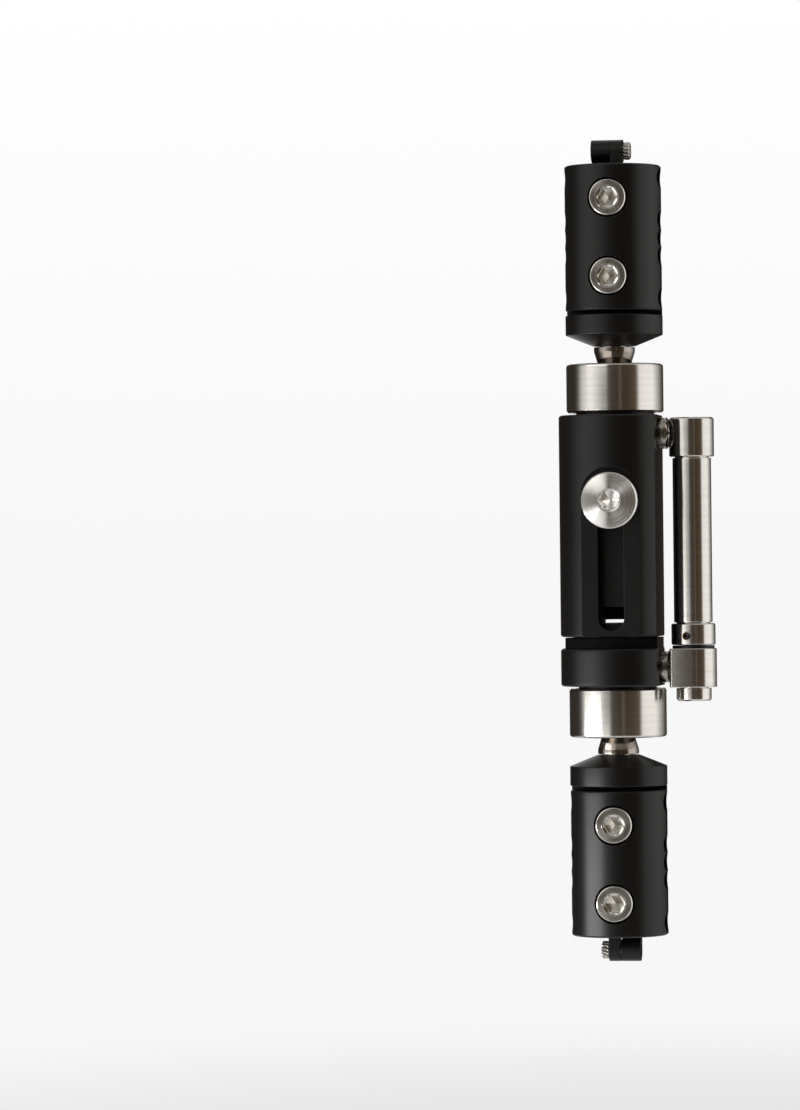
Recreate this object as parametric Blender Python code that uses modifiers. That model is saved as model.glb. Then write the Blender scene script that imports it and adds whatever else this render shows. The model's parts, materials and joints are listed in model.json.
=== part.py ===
"""Monolateral external fixator with two ball-jointed pin clamps and a side distraction unit.

The origin is the middle pin seat of the upper clamp. +Z runs up the fixator, -Y is its front,
where the clamp bolts and the body lock screw are, and +X is the side of the distraction unit.
Each clamp is drawn once, in its own frame, and the lower one is the upper one turned about Y.
"""
import math

import bmesh
import bpy
from mathutils import Matrix, Vector

# Clearances, in metres
CLEARANCE = 0.0003
NARROW_CLEARANCE = 0.0002
OVERSHOOT = 0.0010

# Pin clamp
CLAMP_RADIUS = 0.0140
COVER_LENGTH = 0.0422
PARTING_GAP = 0.0030
CLAMP_CHAMFER = 0.0004
FLANGE_GAP = 0.0012
FLANGE_STEP = 0.0001
FLANGE_HEIGHT = 0.0056
CONE_HEIGHT = 0.0032
CONE_END_RADIUS = 0.0062
PIN_SEAT_RADIUS = 0.0026
PIN_SEAT_PITCH = 0.0052
OUTER_SEAT_OFFSET = 0.0173

# Clamp bolts and their washers
BOLT_OFFSET = 0.0113
BOLT_HEAD_RADIUS = 0.0053
BOLT_HEAD_HEIGHT = 0.0050
BOLT_HEAD_STANDS_PROUD = 0.0003
BOLT_SHANK_RADIUS = 0.0028
BOLT_REACH = 0.0095
BOLT_HEX = 0.0050
BOLT_HEX_DEPTH = 0.0030
BOLT_CHAMFER = 0.0006
WASHER_THICKNESS = 0.0010
COVER_PLAY = 0.0004
POCKET_PLAY = 0.0005

# Clamp hinge
HINGE_LIFT = 0.0044
KNUCKLE_RADIUS = 0.00325
KNUCKLE_LENGTH = 0.0055
KNUCKLE_END = -0.0005
LUG_LENGTH = 0.0033
HINGE_SCREW_RADIUS = 0.0015
HINGE_HEAD_RADIUS = 0.0026
HINGE_HEAD_LENGTH = 0.0019
HINGE_HEX = 0.0025
HINGE_HEX_DEPTH = 0.0012

# Ball stud
STUD_EXPOSED = 0.0052
STUD_SHANK_RADIUS = 0.0040
STUD_SHANK_LENGTH = 0.0076
STUD_SHOULDER_RADIUS = 0.00595
STUD_SHOULDER_HEIGHT = 0.0013
STUD_NECK_RADIUS = 0.0047
BALL_RADIUS = 0.0080
BALL_FLAT_RADIUS = 0.0030

# Ball collar and cup
COLLAR_RADIUS = 0.0141
COLLAR_LENGTH = 0.0141
COLLAR_FACE_TO_BALL = 0.0070
COLLAR_THROAT_RADIUS = 0.0068
COLLAR_MOUTH_RADIUS = 0.0084
COLLAR_EDGE_RADIUS = 0.0009
COLLAR_CHAMFER = 0.0005
COLLAR_SKIRT_DEPTH = 0.0016
SPIGOT_RADIUS = 0.0113
SPIGOT_CHAMFER = 0.0004
COLLAR_GAP = 0.0007
CUP_RADIUS = 0.0083
CUP_RIM_DROP = 0.0027

# Locking cams
CAM_DROP = 0.0132
CAM_HEAD_RADIUS = 0.0046
CAM_HEAD_LENGTH = 0.0026
CAM_HEAD_CHAMFER = 0.0005
CAM_HEX = 0.0050
CAM_HEX_DEPTH = 0.0022
CAM_JOURNAL_RADIUS = 0.0036
CAM_LOBE_RADIUS = 0.0030
CAM_LOBE_OFFSET = 0.0005
CAM_LOBE_REACH = 0.0072
CAM_TAIL_RADIUS = 0.0031
CAM_TAIL_LENGTH = 0.0049

# Telescoping body
SLEEVE_RADIUS = 0.0164
SLEEVE_LENGTH = 0.0641
SLEEVE_CHAMFER = 0.0005
SIDE_FLAT = 0.0126
TELESCOPE_GAP = 0.0034
NECK_RADIUS = 0.0151
RING_LENGTH = 0.0109
BAR_RADIUS = 0.0100
BAR_END_ROOM = 0.0010
CAM_WALL = 0.0031
BAR_FLAT_DEPTH = 0.0007
BAR_WINDOW_WIDTH = 0.0066
BAR_WINDOW_HEIGHT = 0.0048
BAR_WINDOW_ABOVE_NECK = 0.0042
REAR_WINDOW_WIDTH = 0.0060
REAR_WINDOW_HEIGHT = 0.0032
REAR_WINDOW_RISE = 0.0018

# Lock screw, the slot that it travels in and the key that guides it
LOCK_DROP = 0.0248
LOCK_HEAD_RADIUS = 0.00815
LOCK_HEAD_RIM = 0.0026
LOCK_HEAD_CROWN = 0.0006
LOCK_HEAD_CHAMFER = 0.0005
LOCK_SHANK_RADIUS = 0.0030
LOCK_SHANK_LENGTH = 0.0120
LOCK_HEX = 0.0050
LOCK_HEX_DEPTH = 0.0026
LOCK_RECESS_RADIUS = 0.0033
LOCK_RECESS_DEPTH = 0.0004
CHANNEL_DEPTH = 0.0024
CHANNEL_RADIUS = 0.00875
SLOT_WIDTH = 0.0075
SLOT_END_RISE = 0.0018
KEY_LENGTH = 0.0100

# Distraction unit
UNIT_OFFSET = 0.0222
CAP_RADIUS = 0.0065
CAP_LENGTH = 0.0114
CAP_ABOVE_CAM = 0.0045
CAP_CHAMFER = 0.0005
UNIT_TUBE_RADIUS = 0.0056
UNIT_TUBE_BORE = 0.0039
UNIT_TUBE_SPIGOT_RADIUS = 0.0049
UNIT_TUBE_SPIGOT_LENGTH = 0.0026
UNIT_COLLAR_RADIUS = 0.0064
UNIT_COLLAR_LENGTH = 0.0062
UNIT_COLLAR_LIP = 0.0008
UNIT_COLLAR_TO_BLOCK = 0.0010
GRUB_RADIUS = 0.0009
GRUB_LENGTH = 0.0008
GRUB_RISE = 0.0026
GRUB_ANGLE = math.radians(-103.0)
BLOCK_RADIUS = 0.0067
BLOCK_HEIGHT = 0.0112
BLOCK_ABOVE_CAM = 0.0053
BLOCK_LIP = 0.0022
PIN_RADIUS = 0.0021
PIN_SOCKET_DEPTH = 0.0016
PIN_SEAT_DEPTH = 0.0012
DRIVE_THREAD_RADIUS = 0.0030
DRIVE_THREAD_LENGTH = 0.0445
DRIVE_JOURNAL_RADIUS = 0.0042
DRIVE_HEAD_RADIUS = 0.0051
DRIVE_HEAD_REACH = 0.0040
DRIVE_HEAD_CHAMFER = 0.0005
DRIVE_HEX = 0.0040
DRIVE_HEX_DEPTH = 0.0025
RING_THICKNESS = 0.0007
RING_WIDTH = 0.0012
RING_GROOVE_DEPTH = 0.0005

# Facets round a full turn, and along a ball's arc
LARGE_STEPS = 30
MEDIUM_STEPS = 18
SMALL_STEPS = 14
ARC_STEPS = 4

# Cutters are turned by this much, so that their corners miss the edges of what they cut
CUTTER_TURN = math.radians(5.0)

# Places along the axis in a clamp's own frame, from the middle seat towards the ball
COVER_END = COVER_LENGTH / 2
FLANGE_TOP = COVER_END + FLANGE_GAP
CONE_TOP = FLANGE_TOP + FLANGE_HEIGHT
CONE_END = CONE_TOP + CONE_HEIGHT
COLLAR_FACE = CONE_END + STUD_EXPOSED
BALL_CENTRE = COLLAR_FACE + COLLAR_FACE_TO_BALL
COLLAR_END = COLLAR_FACE + COLLAR_LENGTH
HINGE_HEIGHT = COVER_END + HINGE_LIFT
FLANGE_RADIUS = CLAMP_RADIUS + FLANGE_STEP

# Places along the body in the world frame
SLEEVE_TOP = -(COLLAR_END + COLLAR_GAP)
SLEEVE_BOTTOM = SLEEVE_TOP - SLEEVE_LENGTH
NECK_TOP = SLEEVE_BOTTOM - CLEARANCE
SLIDER_RING_TOP = SLEEVE_BOTTOM - TELESCOPE_GAP
SLIDER_RING_BOTTOM = SLIDER_RING_TOP - RING_LENGTH
UPPER_BALL = -BALL_CENTRE
LOWER_BALL = SLIDER_RING_BOTTOM - COLLAR_GAP - (COLLAR_END - BALL_CENTRE)
UPPER_CAM = UPPER_BALL - CAM_DROP
LOWER_CAM = LOWER_BALL + CAM_DROP
LOWER_CLAMP = LOWER_BALL - BALL_CENTRE
LOCK_HEIGHT = SLEEVE_TOP - LOCK_DROP
SLOT_END = SLEEVE_BOTTOM + SLOT_END_RISE
BAR_BORE_TOP = UPPER_CAM - CAM_JOURNAL_RADIUS - CLEARANCE - CAM_WALL
BAR_TOP = BAR_BORE_TOP - BAR_END_ROOM

# How far in front of the body's axis the channel's floor and the bar's flat lie
CHANNEL_FLOOR = SLEEVE_RADIUS - CHANNEL_DEPTH
BAR_FLAT = BAR_RADIUS - BAR_FLAT_DEPTH

# The ball's seat, shared by the collar and the cup
SEAT_SPHERE = BALL_RADIUS + CLEARANCE
CUP_BORE = CUP_RADIUS + CLEARANCE
SPIGOT_DROP = COLLAR_SKIRT_DEPTH + CLEARANCE
CUP_END_DROP = CAM_DROP - CAM_LOBE_RADIUS - CAM_LOBE_OFFSET - CLEARANCE

# Frames
UPPER = Matrix.Identity(4)
LOWER = Matrix.Translation((0.0, 0.0, LOWER_CLAMP)) @ Matrix.Rotation(math.pi, 4, "Y")
ALONG_X = Matrix.Rotation(math.radians(90.0), 4, "Y")
ALONG_MINUS_Y = Matrix.Rotation(math.radians(90.0), 4, "X")
UNIT = Matrix.Translation((UNIT_OFFSET, 0.0, 0.0))


def clear_scene():
    for item in list(bpy.data.objects):
        bpy.data.objects.remove(item, do_unlink=True)


def make_collection(name):
    group = bpy.data.collections.new(name)
    bpy.context.scene.collection.children.link(group)
    return group


def make_material(name, colour, roughness, metallic):
    material = bpy.data.materials.new(name)
    material.use_nodes = True
    shader = material.node_tree.nodes["Principled BSDF"]
    shader.inputs["Base Color"].default_value = (*colour, 1.0)
    shader.inputs["Roughness"].default_value = roughness
    shader.inputs["Metallic"].default_value = metallic
    return material


clear_scene()
PARTS = make_collection("external_fixator")
CUTTERS = make_collection("cutters")
FINISHES = {
    "black": ((0.013, 0.013, 0.014), 0.42, 0.0),
    "turned_steel": ((0.66, 0.64, 0.61), 0.26, 1.0),
    "screw_steel": ((0.74, 0.72, 0.68), 0.20, 1.0),
    "bronze": ((0.45, 0.30, 0.16), 0.35, 1.0),
}


def as_object(name, build, place):
    """An object in the cutters' collection from a function that fills a bmesh."""
    cage = bmesh.new()
    build(cage)
    mesh = bpy.data.meshes.new(name)
    cage.to_mesh(mesh)
    cage.free()
    item = bpy.data.objects.new(name, mesh)
    item.matrix_world = place
    item.hide_render = True
    item.display_type = "WIRE"
    CUTTERS.objects.link(item)
    return item


def box(name, low, high, place=UPPER):
    size = [high[i] - low[i] for i in range(3)]
    middle = [(high[i] + low[i]) / 2 for i in range(3)]
    fit = Matrix.Translation(middle) @ Matrix.Diagonal((*size, 1.0))
    return as_object(name, lambda cage: bmesh.ops.create_cube(cage, size=1.0, matrix=fit), place)


def rod(name, radius, start, end, place=UPPER, steps=SMALL_STEPS):
    """A cylinder along Z from start to end; six steps make a hexagon."""
    fit = Matrix.Translation((0, 0, (start + end) / 2)) @ Matrix.Rotation(CUTTER_TURN, 4, "Z")

    def build(cage):
        bmesh.ops.create_cone(
            cage,
            cap_ends=True,
            segments=steps,
            radius1=radius,
            radius2=radius,
            depth=abs(end - start),
            matrix=fit,
        )

    return as_object(name, build, place)


def hexagon(name, across_flats, start, end, place=UPPER):
    return rod(name, across_flats / math.sqrt(3.0), start, end, place, steps=6)


def cone(name, start_radius, end_radius, start, end, place=UPPER, steps=SMALL_STEPS):
    """A truncated cone along Z whose radius is start_radius at start; end lies above start."""
    fit = Matrix.Translation((0, 0, (start + end) / 2)) @ Matrix.Rotation(-CUTTER_TURN, 4, "Z")

    def build(cage):
        bmesh.ops.create_cone(
            cage,
            cap_ends=True,
            segments=steps,
            radius1=start_radius,
            radius2=end_radius,
            depth=end - start,
            matrix=fit,
        )

    return as_object(name, build, place)


def slab(name, outline, start, end, place):
    """A flat outline of (x, y) points, made solid along Z from start to end."""
    curve = bpy.data.curves.new(name, "CURVE")
    curve.dimensions = "2D"
    curve.fill_mode = "BOTH"
    curve.extrude = (end - start) / 2
    line = curve.splines.new("POLY")
    line.points.add(len(outline) - 1)
    for point, (x, y) in zip(line.points, outline):
        point.co = (x, y, 0.0, 1.0)
    line.use_cyclic_u = True
    guide = bpy.data.objects.new(f"{name}_outline", curve)
    CUTTERS.objects.link(guide)
    bpy.context.view_layer.update()
    solid = guide.evaluated_get(bpy.context.evaluated_depsgraph_get())
    mesh = bpy.data.meshes.new_from_object(solid)
    bpy.data.objects.remove(guide)

    def build(cage):
        cage.from_mesh(mesh)
        bmesh.ops.remove_doubles(cage, verts=cage.verts, dist=0.000001)
        flat = math.radians(0.1)
        bmesh.ops.dissolve_limit(cage, angle_limit=flat, verts=cage.verts, edges=cage.edges)
        bmesh.ops.translate(cage, verts=cage.verts, vec=(0.0, 0.0, (start + end) / 2))
        bmesh.ops.recalc_face_normals(cage, faces=cage.faces)

    return as_object(name, build, place)


def oblong(name, radius, low, high, inner, outer, steps=MEDIUM_STEPS):
    """A round-ended bar seen from the front, from inner to outer in front of the axis."""
    outline = arc((0.0, high), radius, 0.0, 180.0, steps // 2)
    outline += arc((0.0, low), radius, 180.0, 360.0, steps // 2)
    return slab(name, outline, inner, outer, ALONG_MINUS_Y)


def turned(name, outline, place=UPPER, steps=LARGE_STEPS, closed=False):
    """A turned shape from (radius, height) points that run down the outer side."""
    edges = [(i, i + 1) for i in range(len(outline) - 1)]
    if closed:
        edges.append((len(outline) - 1, 0))
    mesh = bpy.data.meshes.new(name)
    mesh.from_pydata([(radius, 0.0, height) for radius, height in outline], edges, [])
    item = bpy.data.objects.new(name, mesh)
    item.matrix_world = place
    item.hide_render = True
    item.display_type = "WIRE"
    CUTTERS.objects.link(item)
    spin = item.modifiers.new("turn", "SCREW")
    spin.axis = "Z"
    spin.angle = math.radians(360.0)
    spin.steps = steps
    spin.render_steps = steps
    spin.use_merge_vertices = True
    spin.merge_threshold = 0.000001
    return item


def arc(centre, radius, start, end, steps):
    """Points on an arc in a turned outline, angles in degrees from the +radius direction."""
    points = []
    for i in range(steps + 1):
        angle = math.radians(start + (end - start) * i / steps)
        points.append((centre[0] + radius * math.cos(angle), centre[1] + radius * math.sin(angle)))
    return points


def combine(item, other, operation):
    change = item.modifiers.new(operation.lower(), "BOOLEAN")
    change.operation = operation
    change.solver = "EXACT"
    change.object = other


def cut(item, *others):
    for other in others:
        combine(item, other, "DIFFERENCE")


def join(item, *others):
    for other in others:
        combine(item, other, "UNION")


def finish(item, finish_name, pivot=(0.0, 0.0, 0.0)):
    """Make a shape a part: its modifiers applied, its origin at the pivot, its own material."""
    bpy.context.view_layer.update()
    solid = item.evaluated_get(bpy.context.evaluated_depsgraph_get())
    mesh = bpy.data.meshes.new_from_object(solid)
    shift = item.matrix_world.inverted() @ Vector(pivot)
    mesh.transform(Matrix.Translation(-shift))
    item.modifiers.clear()
    item.data = mesh
    item.matrix_world = item.matrix_world @ Matrix.Translation(shift)
    mesh.shade_smooth()
    mesh.set_sharp_from_angle(angle=math.radians(28.0))
    colour, roughness, metallic = FINISHES[finish_name]
    mesh.materials.clear()
    mesh.materials.append(make_material(item.name, colour, roughness, metallic))
    item.hide_render = False
    item.display_type = "TEXTURED"
    CUTTERS.objects.unlink(item)
    PARTS.objects.link(item)
    return item


def seat_heights():
    return (-OUTER_SEAT_OFFSET, -PIN_SEAT_PITCH, 0.0, PIN_SEAT_PITCH, OUTER_SEAT_OFFSET)


def seat_cutters(name, side, place):
    """The round grooves of the pin seats, in the face of one half of a clamp."""
    face = side * PARTING_GAP / 2
    reach = CLAMP_RADIUS + OVERSHOOT
    cutters = []
    for i, height in enumerate(seat_heights()):
        line = place @ Matrix.Translation((0, face, height)) @ ALONG_X
        cutters.append(rod(f"{name}_seat_{i}", PIN_SEAT_RADIUS, -reach, reach, line))
    return cutters


def hinge_eye(name, start, end, side, place):
    """A hinge eye that rises from one half's end face, and the bore for the hinge screw."""
    line = place @ Matrix.Translation((0, 0, HINGE_HEIGHT)) @ ALONG_X
    outline = []
    for across, up in arc((0.0, 0.0), KNUCKLE_RADIUS, 0.0, 270.0, MEDIUM_STEPS):
        outline.append((-up, side * across))
    foot = HINGE_LIFT + OVERSHOOT
    outline += [(foot, 0.0), (foot, side * KNUCKLE_RADIUS)]
    eye = slab(f"{name}_eye", outline, start, end, line)
    bore = HINGE_SCREW_RADIUS + CLEARANCE
    hole = rod(f"{name}_hole", bore, start - OVERSHOOT, end + OVERSHOOT, line)
    return eye, hole


def clamp_body(name, place):
    """The back half of a clamp with the flange and cone that hold the ball stud."""
    outline = [
        (0.0, COVER_END),
        (CLAMP_RADIUS - CLAMP_CHAMFER, COVER_END),
        (CLAMP_RADIUS, COVER_END - CLAMP_CHAMFER),
        (CLAMP_RADIUS, -FLANGE_TOP),
        (FLANGE_RADIUS, -FLANGE_TOP - CLAMP_CHAMFER / 2),
        (FLANGE_RADIUS, -CONE_TOP),
        (CONE_END_RADIUS, -CONE_END),
        (0.0, -CONE_END),
    ]
    body = turned(name, outline, place)
    wide = CLAMP_RADIUS + OVERSHOOT
    high = COVER_END + OVERSHOOT
    front = box(f"{name}_front", (-wide, -wide, -FLANGE_TOP), (wide, PARTING_GAP / 2, high), place)
    cut(body, front, *seat_cutters(name, 1.0, place))
    for i, height in enumerate((BOLT_OFFSET, -BOLT_OFFSET)):
        line = place @ Matrix.Translation((0, 0, height)) @ ALONG_MINUS_Y
        bore = BOLT_SHANK_RADIUS + CLEARANCE
        cut(body, rod(f"{name}_bolt_hole_{i}", bore, -wide, wide, line))
    shank_bore = STUD_SHANK_RADIUS + CLEARANCE
    bore_top = -(CONE_END - STUD_SHANK_LENGTH) + CLEARANCE
    cut(body, rod(f"{name}_stud_bore", shank_bore, -CONE_END - OVERSHOOT, bore_top, place))
    eye, hole = hinge_eye(name, KNUCKLE_END - KNUCKLE_LENGTH, KNUCKLE_END, 1.0, place)
    join(body, eye)
    cut(body, hole)
    return finish(body, "black")


def clamp_cover(name, place):
    """The front half of a clamp, hinged at its outer end and drawn in by two bolts."""
    outline = [
        (0.0, COVER_END),
        (CLAMP_RADIUS - CLAMP_CHAMFER, COVER_END),
        (CLAMP_RADIUS, COVER_END - CLAMP_CHAMFER),
        (CLAMP_RADIUS, -COVER_END + CLAMP_CHAMFER),
        (CLAMP_RADIUS - CLAMP_CHAMFER, -COVER_END),
        (0.0, -COVER_END),
    ]
    cover = turned(name, outline, place)
    wide = CLAMP_RADIUS + OVERSHOOT
    high = COVER_END + OVERSHOOT
    back = box(f"{name}_back", (-wide, -PARTING_GAP / 2, -high), (wide, wide, high), place)
    cut(cover, back, *seat_cutters(name, -1.0, place))
    for i, height in enumerate((BOLT_OFFSET, -BOLT_OFFSET)):
        line = place @ Matrix.Translation((0, 0, height)) @ ALONG_MINUS_Y
        hole = BOLT_SHANK_RADIUS + COVER_PLAY
        cut(cover, rod(f"{name}_bolt_hole_{i}", hole, -OVERSHOOT, wide, line))
        pocket = BOLT_HEAD_RADIUS + POCKET_PLAY
        floor = bolt_head_under() - WASHER_THICKNESS - 2 * CLEARANCE
        cut(cover, rod(f"{name}_pocket_{i}", pocket, floor, wide, line, MEDIUM_STEPS))
    start = KNUCKLE_END + CLEARANCE
    eye, hole = hinge_eye(name, start, start + LUG_LENGTH, -1.0, place)
    join(cover, eye)
    cut(cover, hole)
    return finish(cover, "black", place @ Vector((0, 0, HINGE_HEIGHT)))


def bolt_head_under():
    """How far in front of the clamp's axis the underside of a bolt's head lies."""
    return CLAMP_RADIUS + BOLT_HEAD_STANDS_PROUD - BOLT_HEAD_HEIGHT


def clamp_bolt(name, height, place):
    """A socket-head clamp bolt along -Y; its own frame has +Z pointing out of its head."""
    line = place @ Matrix.Translation((0, 0, height)) @ ALONG_MINUS_Y
    face = bolt_head_under() + BOLT_HEAD_HEIGHT
    outline = [
        (0.0, face),
        (BOLT_HEAD_RADIUS - BOLT_CHAMFER, face),
        (BOLT_HEAD_RADIUS, face - BOLT_CHAMFER),
        (BOLT_HEAD_RADIUS, face - BOLT_HEAD_HEIGHT),
        (BOLT_SHANK_RADIUS, face - BOLT_HEAD_HEIGHT),
        (BOLT_SHANK_RADIUS, -BOLT_REACH + BOLT_CHAMFER),
        (BOLT_SHANK_RADIUS - BOLT_CHAMFER, -BOLT_REACH),
        (0.0, -BOLT_REACH),
    ]
    bolt = turned(name, outline, line, MEDIUM_STEPS)
    corner = BOLT_HEX / math.sqrt(3.0)
    cut(bolt, hexagon(f"{name}_hex", BOLT_HEX, face - BOLT_HEX_DEPTH, face + OVERSHOOT, line))
    lead = cone(
        f"{name}_lead",
        corner - CLEARANCE,
        corner + 2 * CLEARANCE,
        face - 2 * CLEARANCE,
        face + CLEARANCE,
        line,
    )
    cut(bolt, lead)
    return finish(bolt, "screw_steel", line @ Vector((0, 0, 0)))


def clamp_washer(name, height, place):
    line = place @ Matrix.Translation((0, 0, height)) @ ALONG_MINUS_Y
    top = bolt_head_under() - CLEARANCE
    bore = BOLT_SHANK_RADIUS + CLEARANCE
    outline = [
        (bore, top),
        (BOLT_HEAD_RADIUS, top),
        (BOLT_HEAD_RADIUS, top - WASHER_THICKNESS),
        (bore, top - WASHER_THICKNESS),
    ]
    washer = turned(name, outline, line, MEDIUM_STEPS, closed=True)
    return finish(washer, "turned_steel", line @ Vector((0, 0, 0)))


def hinge_screw(name, place):
    """The cap screw that pins the cover's lug to the body's knuckle."""
    line = place @ Matrix.Translation((0, 0, HINGE_HEIGHT)) @ ALONG_X
    under = KNUCKLE_END + CLEARANCE + LUG_LENGTH + CLEARANCE
    face = under + HINGE_HEAD_LENGTH
    tip = KNUCKLE_END - KNUCKLE_LENGTH + CLEARANCE
    outline = [
        (0.0, face),
        (HINGE_HEAD_RADIUS - CLEARANCE, face),
        (HINGE_HEAD_RADIUS, face - CLEARANCE),
        (HINGE_HEAD_RADIUS, under),
        (HINGE_SCREW_RADIUS, under),
        (HINGE_SCREW_RADIUS, tip),
        (0.0, tip),
    ]
    screw = turned(name, outline, line, SMALL_STEPS)
    cut(screw, hexagon(f"{name}_hex", HINGE_HEX, face - HINGE_HEX_DEPTH, face + OVERSHOOT, line))
    return finish(screw, "screw_steel", line @ Vector((0, 0, 0)))


def ball_stud(name, place):
    """The stud whose shank sits in the clamp's cone and whose ball sits in the collar."""
    shank_top = -(CONE_END - STUD_SHANK_LENGTH)
    shoulder = -CONE_END - CLEARANCE
    chamfer = CLAMP_CHAMFER
    meet = math.degrees(math.acos(STUD_NECK_RADIUS / BALL_RADIUS))
    flat = -math.degrees(math.acos(BALL_FLAT_RADIUS / BALL_RADIUS))
    outline = [
        (0.0, shank_top),
        (STUD_SHANK_RADIUS - chamfer, shank_top),
        (STUD_SHANK_RADIUS, shank_top - chamfer),
        (STUD_SHANK_RADIUS, shoulder),
        (STUD_SHOULDER_RADIUS, shoulder),
        (STUD_SHOULDER_RADIUS, shoulder - STUD_SHOULDER_HEIGHT),
    ]
    outline += arc((0.0, -BALL_CENTRE), BALL_RADIUS, meet, flat, 2 * ARC_STEPS)
    outline.append((0.0, outline[-1][1]))
    stud = turned(name, outline, place, MEDIUM_STEPS)
    return finish(stud, "turned_steel", place @ Vector((0, 0, -BALL_CENTRE)))


def ball_collar(name, place):
    """The screwed collar that holds the ball, with a spherical seat behind its flared mouth."""
    centre = (0.0, -BALL_CENTRE)
    throat = math.degrees(math.acos(COLLAR_THROAT_RADIUS / SEAT_SPHERE))
    edge = COLLAR_EDGE_RADIUS
    bore = SPIGOT_RADIUS + CLEARANCE
    step = -(BALL_CENTRE + COLLAR_SKIRT_DEPTH)
    outline = [(COLLAR_MOUTH_RADIUS, -COLLAR_FACE)]
    outline += arc((COLLAR_RADIUS - edge, -COLLAR_FACE - edge), edge, 90.0, 0.0, 3)
    outline += [
        (COLLAR_RADIUS, -COLLAR_END + COLLAR_CHAMFER),
        (COLLAR_RADIUS - COLLAR_CHAMFER, -COLLAR_END),
        (bore + COLLAR_CHAMFER, -COLLAR_END),
        (bore, -COLLAR_END + COLLAR_CHAMFER),
        (bore, step),
        (SEAT_SPHERE, step),
    ]
    outline += arc(centre, SEAT_SPHERE, 0.0, throat, ARC_STEPS)
    collar = turned(name, outline, place, LARGE_STEPS, closed=True)
    return finish(collar, "turned_steel")


def ball_cup(name, place):
    """The sliding cup that the cam presses against the ball."""
    rim = -(BALL_CENTRE + CUP_RIM_DROP)
    end = -(BALL_CENTRE + CUP_END_DROP)
    start = -math.degrees(math.asin(CUP_RIM_DROP / SEAT_SPHERE))
    hollow = arc((0.0, -BALL_CENTRE), SEAT_SPHERE, -90.0, start, ARC_STEPS)
    hollow[0] = (0.0, -BALL_CENTRE - SEAT_SPHERE)
    outline = hollow + [
        (CUP_RADIUS, rim),
        (CUP_RADIUS, end + CLEARANCE),
        (CUP_RADIUS - CLEARANCE, end),
        (0.0, end),
    ]
    cup = turned(name, outline, place, MEDIUM_STEPS)
    return finish(cup, "bronze", place @ Vector((0, 0, -BALL_CENTRE)))


def cam_stations():
    """Distances along X: tail end, tail root, lobe end, head underside, head face."""
    under = SIDE_FLAT + CLEARANCE
    lobe_start = -CAM_LOBE_REACH
    lobe_end = CUP_BORE + CLEARANCE
    return lobe_start - CAM_TAIL_LENGTH, lobe_start, lobe_end, under, under + CAM_HEAD_LENGTH


def locking_cam(name, height, away):
    """A cam along X; its lobe points away from the ball at rest and presses the cup when turned."""
    tail, root, lobe_end, under, face = cam_stations()
    line = Matrix.Translation((0, 0, height)) @ ALONG_X
    outline = [
        (0.0, face),
        (CAM_HEAD_RADIUS - CAM_HEAD_CHAMFER, face),
        (CAM_HEAD_RADIUS, face - CAM_HEAD_CHAMFER),
        (CAM_HEAD_RADIUS, under),
        (CAM_JOURNAL_RADIUS, under),
        (CAM_JOURNAL_RADIUS, lobe_end),
        (0.0, lobe_end),
    ]
    cam = turned(name, outline, line, MEDIUM_STEPS)
    lobe_line = Matrix.Translation((0, 0, away * CAM_LOBE_OFFSET)) @ line
    lobe = rod(f"{name}_lobe", CAM_LOBE_RADIUS, root, lobe_end + OVERSHOOT, lobe_line)
    stub = rod(f"{name}_tail", CAM_TAIL_RADIUS, tail, root + OVERSHOOT, line)
    join(cam, lobe, stub)
    cut(cam, hexagon(f"{name}_hex", CAM_HEX, face - CAM_HEX_DEPTH, face + OVERSHOOT, line))
    return finish(cam, "screw_steel", line @ Vector((0, 0, 0)))


def cam_cutters(name, height):
    """The stepped cross bore that a cam turns in."""
    tail, root, _, under, _ = cam_stations()
    line = Matrix.Translation((0, 0, height)) @ ALONG_X
    wide = CAM_JOURNAL_RADIUS + CLEARANCE
    narrow = CAM_TAIL_RADIUS + CLEARANCE
    near = rod(f"{name}_near", wide, root - CLEARANCE, under + OVERSHOOT, line, MEDIUM_STEPS)
    far = rod(f"{name}_far", narrow, tail - CLEARANCE, root, line)
    return near, far


def side_flat_cutter(name, low, high):
    reach = SLEEVE_RADIUS + OVERSHOOT
    return box(name, (SIDE_FLAT, -reach, low), (reach, reach, high))


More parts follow.
